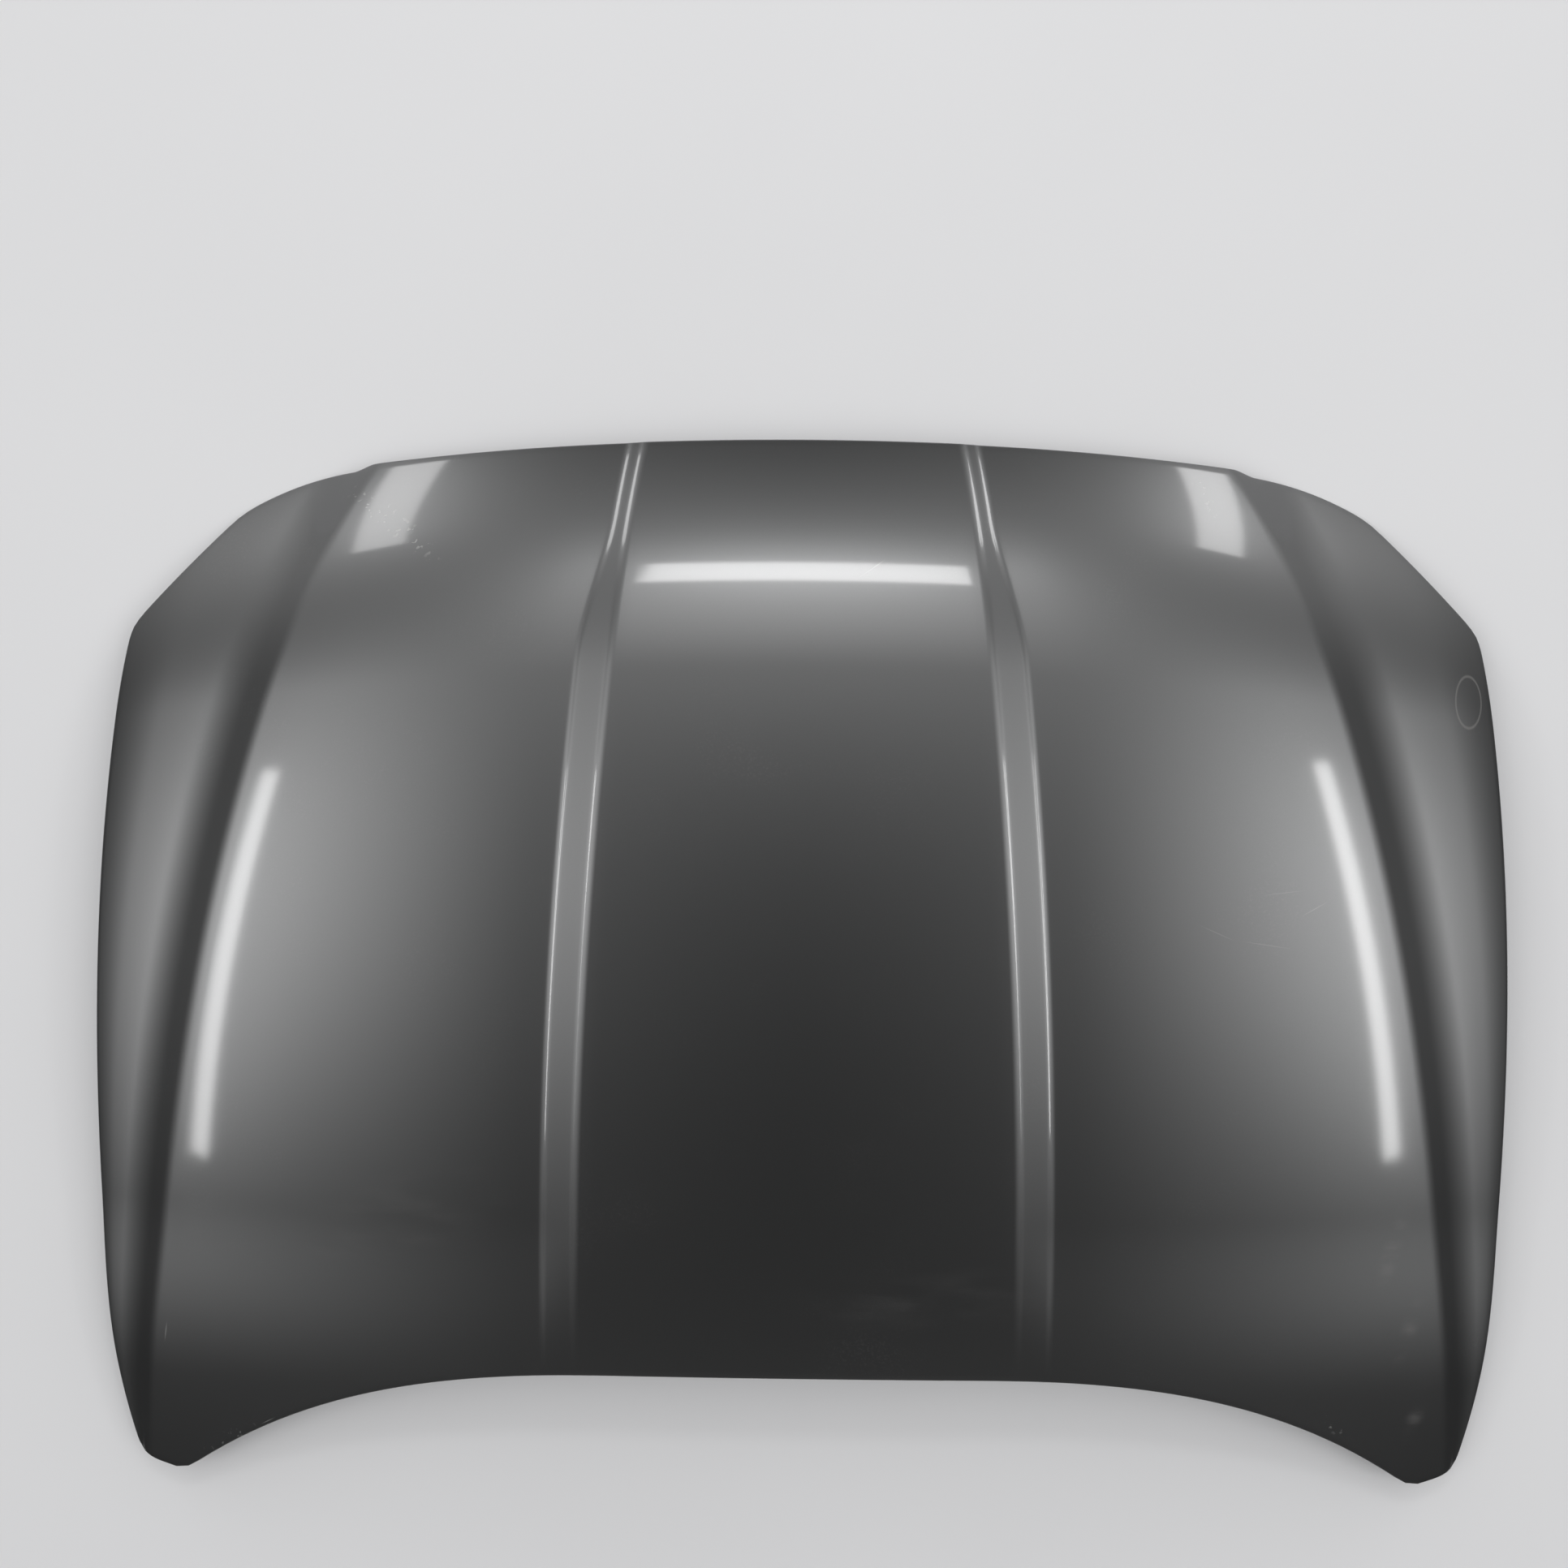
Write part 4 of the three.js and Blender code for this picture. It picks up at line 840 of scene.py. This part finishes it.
class Shader:
    """Builds the node tree of one material or world."""

    def __init__(self, owner):
        self.owner = owner
        owner.use_nodes = True
        self.tree = owner.node_tree
        self.tree.nodes.clear()

    def node(self, kind, settings, *inputs, output=0, sink=False, **named):
        """Adds a node, makes its settings and fills its sockets. Returns an output unless it's a sink."""
        node = self.tree.nodes.new(kind)
        for key, value in settings.items():
            setattr(node, key, value)
        pairs = list(enumerate(inputs)) + [(key.replace("_", " "), value) for key, value in named.items()]
        for key, value in pairs:
            socket = node.inputs[key]
            if isinstance(value, Socket):
                self.tree.links.new(value.link, socket)
            else:
                socket.default_value = value
        return None if sink else Socket(self, node.outputs[output])

    def place(self):
        """The Object coordinates of the surface."""
        return self.node("ShaderNodeTexCoord", {}, output="Object")

    def toned(self, tint, tone):
        """A colour made lighter or darker."""
        return self.vector("SCALE", tuple(tint), Scale=tone)

    def vector(self, operation, *values, **named):
        return self.node("ShaderNodeVectorMath", {"operation": operation}, *values, **named)

    def noise(self, at, scale, detail=2.0, roughness=0.5):
        return self.node("ShaderNodeTexNoise", {}, Vector=at, Scale=scale, Detail=detail,
                         Roughness=roughness)

    def stretched(self, at, scale, turn=0.0, centre=(0.0, 0.0, 0.0)):
        """Coordinates turned about Z and scaled, with the centre moved to zero."""
        moved = self.vector("SUBTRACT", at, centre)
        return self.node("ShaderNodeMapping", {"vector_type": "POINT"}, moved,
                         Rotation=(0.0, 0.0, turn), Scale=scale)

    def blend(self, mask, a, b):
        """A mix of two colours."""
        node = self.tree.nodes.new("ShaderNodeMix")
        node.data_type = "RGBA"
        for socket, value in zip([node.inputs[0], node.inputs[6], node.inputs[7]], [mask, a, b]):
            if isinstance(value, Socket):
                self.tree.links.new(value.link, socket)
            else:
                socket.default_value = value if isinstance(value, float) else (*value, 1.0)
        return Socket(self, node.outputs[2])

    def bump(self, height, distance, strength):
        return self.node("ShaderNodeBump", {}, Strength=strength, Distance=distance, Height=height)

    def finish(self, **sockets):
        """The Principled shader with constants on its own sockets, and the material."""
        shader = self.tree.nodes.new("ShaderNodeBsdfPrincipled")
        for key, value in sockets.items():
            socket = shader.inputs[key.replace("_", " ")]
            if isinstance(value, Socket):
                self.tree.links.new(value.link, socket)
            elif hasattr(value, "__len__"):
                socket.default_value = (*value, 1.0)
            else:
                socket.default_value = value
        output = self.tree.nodes.new("ShaderNodeOutputMaterial")
        self.tree.links.new(shader.outputs[0], output.inputs["Surface"])
        return self.owner


class BonnetFinish(PropertyGroup):
    """Colours and gloss of the paint, the steel, the rubber and the mastic."""

    paint: colour("Paint", "Metallic body colour", (0.099, 0.100, 0.101))
    paint_roughness: number("Paint roughness", "Spread of the metallic base", 0.32)
    paint_metallic: number("Paint metallic", "Share of flake in the base", 1.0)
    coat_roughness: number("Coat roughness", "Spread of the clear coat", 0.075)
    dust: colour("Dust", "Pale dust and smears on the paint", (0.22, 0.21, 0.20))
    chip: colour("Chip", "Primer that shows in chips and scratches", (0.30, 0.30, 0.29))
    frame_paint: colour("Frame paint", "Thin body colour on the inner frame", (0.075, 0.077, 0.08))
    zinc: colour("Zinc", "Plated steel", (0.55, 0.54, 0.5))
    rubber: colour("Rubber", "Seals and buffers", (0.02, 0.02, 0.02))
    mastic: colour("Mastic", "Anti-flutter beads", (0.3, 0.29, 0.26))


class Mark(NamedTuple):
    """A patch of wear: its middle, half length, half width, turn in degrees and strength."""

    x: float
    y: float
    half_length: float
    half_width: float
    turn: float
    strength: float


CHIPS = [
    Mark(-0.433, 0.484, 0.085, 0.016, -35, 1.0),
    Mark(0.424, 0.522, 0.034, 0.008, -68, 0.8),
    Mark(0.550, -0.057, 0.006, 0.004, 20, 0.8),
    Mark(-0.628, -0.524, 0.052, 0.010, 32, 0.6),
    Mark(0.586, -0.486, 0.030, 0.010, -40, 0.6),
]
SCRATCHES = [
    Mark(0.072, 0.436, 0.018, 0.0010, 35, 0.5),
    Mark(0.431, 0.065, 0.026, 0.0006, -24, 0.3),
    Mark(0.484, 0.052, 0.034, 0.0006, -9, 0.3),
    Mark(0.535, 0.089, 0.020, 0.0006, 28, 0.3),
    Mark(0.500, 0.106, 0.030, 0.0005, 6, 0.25),
    Mark(-0.581, -0.499, 0.012, 0.0009, 30, 0.8),
    Mark(-0.694, -0.401, 0.015, 0.0009, 80, 0.8),
]
SMEARS = [
    Mark(0.641, -0.285, 0.060, 0.016, 78, 0.7),
    Mark(0.666, -0.379, 0.055, 0.014, 75, 0.7),
    Mark(0.685, -0.478, 0.045, 0.014, 72, 0.7),
    Mark(0.130, -0.330, 0.190, 0.050, 4, 0.2),
    Mark(-0.420, -0.250, 0.160, 0.070, 20, 0.2),
]
RING = Mark(0.712, 0.303, 0.028, 0.016, 90, 0.8)
FLAKE_SCALE = 2600.0
MOTTLE_SCALE = 2.2
SPECK_SCALE = 170.0
STREAK_SCALE = (14.0, 50.0, 14.0)
DUST_SCALE = 7.0
DUST_ROUGHNESS = 0.65
GRIT_SCALE = 420.0
PEEL_SCALE = 220.0
PEEL_HEIGHT = 0.00002
PEEL_STRENGTH = 0.6
COAT_IOR = 1.5
CHIP_EDGE = 0.2
SCRATCH_EDGE = 0.1
SMEAR_EDGE = 0.0


def distance(shader, at, mark):
    """0 in the middle of a mark and 1 along its oval edge."""
    middle = shader.stretched(at, (1.0, 1.0, 0.0), -math.radians(mark.turn), (mark.x, mark.y, 0.0))
    shares = (1 / mark.half_length, 1 / mark.half_width, 0.0)
    return shader.vector("LENGTH", shader.vector("MULTIPLY", middle, shares), output="Value")


def ring(shader, at, mark):
    """A thin line along a mark's oval edge."""
    reach = distance(shader, at, mark)
    return reach.rise(0.90, 0.96) * reach.rise(1.06, 1.0) * mark.strength


def patch(shader, at, mark, full):
    """A soft oval round a mark, 0 past its edge and 1 inside the share of its size called full."""
    return distance(shader, at, mark).rise(1.0, full) * mark.strength


def worn(shader, at, marks, full):
    """The strongest of several marks."""
    cover = patch(shader, at, marks[0], full)
    for mark in marks[1:]:
        cover = cover.most(patch(shader, at, mark, full))
    return cover


def paint_material(look):
    """Dark metallic base with fine flake under a clear coat, faintly worn.

    Dust and smears dull the base. Chips and scratches bare the primer and take off the coat.
    """
    shader = Shader(bpy.data.materials.new("body_paint"))
    at = shader.place()
    flake = shader.noise(at, FLAKE_SCALE, 1.0)
    mottle = shader.noise(at, MOTTLE_SCALE, 3.0)
    tone = (0.86 + 0.28 * flake) * (0.96 + 0.08 * mottle)
    metal = shader.toned(look.paint, tone)
    specks = shader.noise(at, SPECK_SCALE, 2.0).rise(0.62, 0.68)
    chips = worn(shader, at, CHIPS, CHIP_EDGE) * specks
    scratches = worn(shader, at, SCRATCHES, SCRATCH_EDGE)
    streaks = shader.noise(shader.stretched(at, STREAK_SCALE), 1.0, 4.0).rise(0.4, 0.75)
    smears = worn(shader, at, SMEARS, SMEAR_EDGE) * streaks
    grit = shader.noise(at, GRIT_SCALE, 1.0).rise(0.5, 0.75)
    dust = shader.noise(at, DUST_SCALE, 6.0, DUST_ROUGHNESS).rise(0.5, 0.8) * grit
    dull = (smears * 0.35 + dust * 0.10 + ring(shader, at, RING) * 0.4).least(0.5)
    bare = (scratches * 0.7).most(chips * 0.75)
    dusty = shader.blend(dull, metal, tuple(look.dust))
    colour_value = shader.blend(bare, dusty, tuple(look.chip))
    peel = shader.noise(at, PEEL_SCALE, 1.0)
    normal = shader.bump(peel, PEEL_HEIGHT, PEEL_STRENGTH)
    return shader.finish(Base_Color=colour_value,
                         Metallic=look.paint_metallic - (dull + bare).least(0.9),
                         Roughness=look.paint_roughness + dull * 0.3,
                         Coat_Weight=1.0 - bare * 0.8,
                         Coat_Roughness=look.coat_roughness,
                         Coat_IOR=COAT_IOR,
                         Normal=normal)


def frame_material(look):
    shader = Shader(bpy.data.materials.new("frame_paint"))
    at = shader.place()
    mottle = shader.noise(at, 9.0, 4.0)
    tone = 0.8 + 0.4 * mottle
    colour_value = shader.toned(look.frame_paint, tone)
    roughness = 0.42 + 0.2 * shader.noise(at, 30.0, 2.0)
    return shader.finish(Base_Color=colour_value, Metallic=0.35, Roughness=roughness)


def zinc_material(look):
    shader = Shader(bpy.data.materials.new("zinc_plate"))
    at = shader.place()
    grain = shader.noise(at, 400.0, 3.0)
    tone = 0.8 + 0.35 * grain
    colour_value = shader.toned(look.zinc, tone)
    return shader.finish(Base_Color=colour_value, Metallic=0.95, Roughness=0.32 + 0.2 * grain)


def rubber_material(look):
    shader = Shader(bpy.data.materials.new("black_rubber"))
    at = shader.place()
    grain = shader.noise(at, 700.0, 2.0)
    tone = 0.7 + 0.6 * shader.noise(at, 40.0, 3.0)
    colour_value = shader.toned(look.rubber, tone)
    return shader.finish(Base_Color=colour_value, Roughness=0.75 + 0.15 * grain,
                         Normal=shader.bump(grain, 0.0002, 0.5))


def mastic_material(look):
    shader = Shader(bpy.data.materials.new("mastic"))
    at = shader.place()
    lumps = shader.noise(at, 160.0, 3.0)
    tone = 0.8 + 0.4 * lumps
    colour_value = shader.toned(look.mastic, tone)
    return shader.finish(Base_Color=colour_value, Roughness=0.8 + 0.1 * lumps,
                         Normal=shader.bump(lumps, 0.0006, 0.7))


def dress(piece, material):
    piece.data.materials.clear()
    piece.data.materials.append(material)


class BONNET_OT_skin(Operator):
    """Press the outer skin with its rolled hem"""

    bl_idname = "bonnet.skin"
    bl_label = "Outer Skin"

    def execute(self, context):
        surface, plan, lift = bonnet_surface(context)
        sheets = context.scene.bonnet_sheets
        fold = sheets.hem_depth / 2
        under = sheets.skin_sheet
        outer = fold - under

        loops = []
        for n in range(1, 2 * sheets.fold_steps + 1):
            turn = math.pi * n / (2 * sheets.fold_steps)
            loops.append((fold - fold * math.sin(turn), surface.below(fold - fold * math.cos(turn))))
        loops.append((sheets.hem_return, surface.below(sheets.hem_depth)))
        loops.append((sheets.hem_return, surface.below(sheets.hem_depth - under)))
        for n in range(0, 2 * sheets.fold_steps):
            turn = math.pi * n / (2 * sheets.fold_steps)
            loops.append((fold - outer * math.sin(turn), surface.below(fold + outer * math.cos(turn))))
        skin = sheet_mesh("skin_panel", plan, fold, surface.skin_z, loops,
                          surface.below(under), lift)
        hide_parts("outer_skin")
        dress(skin, paint_material(context.scene.bonnet_finish))
        return {"FINISHED"}


class BONNET_OT_frame(Operator):
    """Press the inner frame and punch its holes"""

    bl_idname = "bonnet.frame"
    bl_label = "Inner Frame"

    def execute(self, context):
        surface, _, lift = bonnet_surface(context)
        f = context.scene.bonnet_frame
        skin_sheet = context.scene.bonnet_sheets.skin_sheet
        inner = Frame(surface, f)
        across, along = np.meshgrid(inner.plan.across, inner.plan.along)
        top_depth = skin_sheet + f.clearance
        bottom_depth = top_depth + f.frame_sheet

        loops = [
            (f.hem_flat, surface.below(top_depth)),
            (f.edge_inset, surface.below(top_depth)),
            (f.edge_inset, surface.below(bottom_depth)),
            (f.hem_flat, surface.below(bottom_depth)),
        ]
        pressed = sheet_mesh("frame_panel", inner.plan, inner.inset,
                             lambda x, y: inner.top_z(across, along, x, y), loops,
                             lambda x, y: inner.top_z(across, along, x, y) - f.frame_sheet, lift)
        shift = np.array([0.0, -inner.middle])
        outlines = [rounded_outline(centre + shift, width, length, f.hole_corner, turn)
                    for centre, width, length, turn in inner.holes()]
        outlines += [round_outline(centre + shift, diameter) for centre, diameter in inner.fixings()]
        punch(pressed, outlines)
        lips = lip_mesh(inner, lift)
        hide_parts("inner_frame")
        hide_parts("inner_frame")
        paint = frame_material(context.scene.bonnet_finish)
        dress(pressed, paint)
        dress(lips, paint)
        return {"FINISHED"}


class BONNET_OT_carried(Operator):
    """Give the CAD pieces that stay their finish"""

    bl_idname = "bonnet.carried"
    bl_label = "Carried Pieces"

    def execute(self, context):
        look = context.scene.bonnet_finish
        finishes = {
            "frame_paint": frame_material(look),
            "zinc_steel": zinc_material(look),
            "rubber": rubber_material(look),
            "mastic": mastic_material(look),
        }
        for subpart in frame["record"]["subparts"]:
            material = finishes.get(subpart["material_slot"])
            if material is not None:
                dress(frame["nodes"][subpart["node"]], material)
        return {"FINISHED"}


class BonnetStudio(PropertyGroup):
    """The camera and the floor."""

    floor: colour("Floor", "Plain pale floor", (0.69, 0.69, 0.70))
    floor_half: size("Floor half width", "Middle of the floor to its edge", 8.0)
    lens_px: number("Lens", "Focal length in pixels of the photo's frame", 2000.0)
    camera_x: size("Camera X", "Place of the camera across", 0.0041)
    camera_y: size("Camera Y", "Place of the camera along, from the bonnet's middle", 0.3398)
    camera_z: size("Camera Z", "Height of the camera", 1.7932)
    pitch: number("Pitch", "Camera turn about X in degrees", -4.290)
    yaw: number("Yaw", "Camera turn about Y in degrees", 0.713)
    roll: number("Roll", "Camera turn about Z in degrees", 0.465)


class Lamp(NamedTuple):
    """A rectangular lamp: sizes in metres, power in watts, turn about its own axis in radians."""

    place: tuple
    target: tuple
    width: float
    height: float
    power: float
    turn: float = 0.0


class Glow(NamedTuple):
    """A broad round glow in the surroundings, the same on the left and on the right.

    Its strength falls off by exp(sharpness * (cosine of the angle from its middle - 1)).
    """

    azimuth: float
    elevation: float
    sharpness: float
    strength: float


LAMPS = {
    "tube_ahead": Lamp((0.015, 2.28, 2.6), (0.015, 2.28, 0.0), 1.25, 0.42, 17.0),
    "tube_left": Lamp((-2.9, -0.66, 2.6), (-2.9, -0.66, 0.0), 0.15, 2.2, 12.0, turn=-0.21),
    "tube_right": Lamp((2.8, -0.58, 2.6), (2.8, -0.58, 0.0), 0.15, 2.2, 13.0, turn=0.21),
    "window_left": Lamp((-2.44, 3.68, 1.1), (-0.43, 0.5, 0.07), 1.9, 0.42, 12.8, turn=-0.81),
    "window_right": Lamp((2.44, 3.68, 1.1), (0.43, 0.5, 0.07), 1.9, 0.36, 13.8, turn=0.72),
}
GLOWS = [
    Glow(0, 66, 24, 2.5),
    Glow(0, 45, 25, 0.6),
    Glow(0, 25, 20, 0.35),
    Glow(38, 45, 12, 0.6),
    Glow(40, 15, 12, 1.35),
    Glow(95, 51, 20, 2.9),
    Glow(90, 65, 20, 0.14),
    Glow(130, 50, 12, 0.12),
    Glow(180, 20, 8, 0.38),
]


PHOTO_SIDE = 1932
SENSOR_WIDTH = 36.0


def turn_matrix(pitch, yaw, roll):
    """Turns about Y, then X, then Z, as a matrix whose columns are the camera's right, up and back."""
    cp, sp = math.cos(pitch), math.sin(pitch)
    cy, sy = math.cos(yaw), math.sin(yaw)
    cr, sr = math.cos(roll), math.sin(roll)
    about_x = np.array([[1, 0, 0], [0, cp, -sp], [0, sp, cp]])
    about_y = np.array([[cy, 0, sy], [0, 1, 0], [-sy, 0, cy]])
    about_z = np.array([[cr, -sr, 0], [sr, cr, 0], [0, 0, 1]])
    return about_y @ about_x @ about_z


def add_camera(studio):
    data = bpy.data.cameras.new("photo_camera")
    data.sensor_width = SENSOR_WIDTH
    data.lens = studio.lens_px / PHOTO_SIDE * SENSOR_WIDTH
    camera = bpy.data.objects.new("photo_camera", data)
    matrix = np.eye(4)
    matrix[:3, :3] = turn_matrix(*(math.radians(a) for a in (studio.pitch, studio.yaw, studio.roll)))
    matrix[:3, 3] = (studio.camera_x, studio.camera_y, studio.camera_z)
    camera.matrix_world = matrix.T.tolist()
    bpy.context.scene.collection.objects.link(camera)
    bpy.context.scene.camera = camera


def add_lamp(name, lamp):
    data = bpy.data.lights.new(name, "AREA")
    data.shape = "RECTANGLE"
    data.size = lamp.width
    data.size_y = lamp.height
    data.energy = lamp.power
    back = np.array(lamp.place) - np.array(lamp.target)
    back = back / np.linalg.norm(back)
    side = np.cross([0.0, 1.0, 0.0], back)
    side = side / np.linalg.norm(side)
    up = np.cross(back, side)
    matrix = np.eye(4)
    matrix[:3, 0] = side * math.cos(lamp.turn) + up * math.sin(lamp.turn)
    matrix[:3, 1] = up * math.cos(lamp.turn) - side * math.sin(lamp.turn)
    matrix[:3, 2] = back
    matrix[:3, 3] = lamp.place
    holder = bpy.data.objects.new(name, data)
    holder.matrix_world = matrix.T.tolist()
    bpy.context.scene.collection.objects.link(holder)


def surroundings(glows, backdrop):
    """The glows, whose sum lights the scene, and the plain backdrop that the camera sees."""
    world = bpy.data.worlds.new("surroundings")
    shader = Shader(world)
    way = shader.node("ShaderNodeTexCoord", {}, output="Generated")
    x, y, z = [shader.node("ShaderNodeSeparateXYZ", {}, way, output=axis) for axis in range(3)]
    mirrored = shader.node("ShaderNodeCombineXYZ", {}, abs(x), y, z)
    strength = 0.0
    for glow in glows:
        azimuth = math.radians(glow.azimuth)
        elevation = math.radians(glow.elevation)
        flat = math.cos(elevation)
        middle = (flat * math.sin(azimuth), flat * math.cos(azimuth), math.sin(elevation))
        cosine = shader.vector("DOT_PRODUCT", mirrored, middle, output="Value")
        closeness = (cosine - 1.0) * glow.sharpness
        strength = strength + closeness.maths("EXPONENT", closeness) * glow.strength
    light = shader.node("ShaderNodeBackground", {}, Strength=strength)
    plain = shader.node("ShaderNodeBackground", {}, (*backdrop, 1.0))
    seen = shader.node("ShaderNodeLightPath", {}, output="Is Camera Ray")
    both = shader.node("ShaderNodeMixShader", {}, seen, light, plain)
    shader.node("ShaderNodeOutputWorld", {}, both, sink=True)
    return world


def floor_material(studio):
    shader = Shader(bpy.data.materials.new("pale_floor"))
    at = shader.place()
    cloud = shader.noise(at, 1.4, 3.0)
    tone = 0.97 + 0.06 * cloud
    colour_value = shader.toned(studio.floor, tone)
    return shader.finish(Base_Color=colour_value, Roughness=0.85)


class BONNET_OT_stage(Operator):
    """Set the floor, the lamps, the surroundings and the camera"""

    bl_idname = "bonnet.stage"
    bl_label = "Stage"

    def execute(self, context):
        studio = context.scene.bonnet_studio
        add_camera(studio)
        half = studio.floor_half
        corners = [(-half, -half, 0), (half, -half, 0), (half, half, 0), (-half, half, 0)]
        mesh = bpy.data.meshes.new("floor")
        mesh.from_pydata(corners, [], [(0, 1, 2, 3)])
        floor = bpy.data.objects.new("floor", mesh)
        context.scene.collection.objects.link(floor)
        dress(floor, floor_material(studio))
        context.scene.world = surroundings(GLOWS, studio.floor)
        for name, lamp in LAMPS.items():
            add_lamp(name, lamp)
        context.scene.view_settings.view_transform = "Standard"
        return {"FINISHED"}


class BONNET_PT_panel(Panel):
    """Lists the steps that build the bonnet"""

    bl_idname = "BONNET_PT_panel"
    bl_label = "Car Bonnet"
    bl_space_type = "VIEW_3D"
    bl_region_type = "UI"
    bl_category = "Bonnet"

    def draw(self, context):
        for operator in OPERATORS:
            self.layout.operator(operator.bl_idname)
        for group in SETTINGS:
            box = self.layout.box()
            settings = getattr(context.scene, group)
            for key in settings.__annotations__:
                box.prop(settings, key)


SETTINGS = {
    "bonnet_shape": BonnetShape,
    "bonnet_sheets": BonnetSheets,
    "bonnet_frame": BonnetFrame,
    "bonnet_finish": BonnetFinish,
    "bonnet_studio": BonnetStudio,
}
OPERATORS = [BONNET_OT_stage, BONNET_OT_skin, BONNET_OT_frame, BONNET_OT_carried]


def register():
    for cls in [*SETTINGS.values(), *OPERATORS, BONNET_PT_panel]:
        bpy.utils.register_class(cls)
    for name, group in SETTINGS.items():
        setattr(bpy.types.Scene, name, PointerProperty(type=group))


def unregister():
    for name in SETTINGS:
        delattr(bpy.types.Scene, name)
    for cls in [BONNET_PT_panel, *OPERATORS, *SETTINGS.values()]:
        bpy.utils.unregister_class(cls)


def main():
    register()
    bpy.ops.bonnet.stage()
    bpy.ops.bonnet.skin()
    bpy.ops.bonnet.frame()
    bpy.ops.bonnet.carried()


if __name__ == "__main__":
    main()
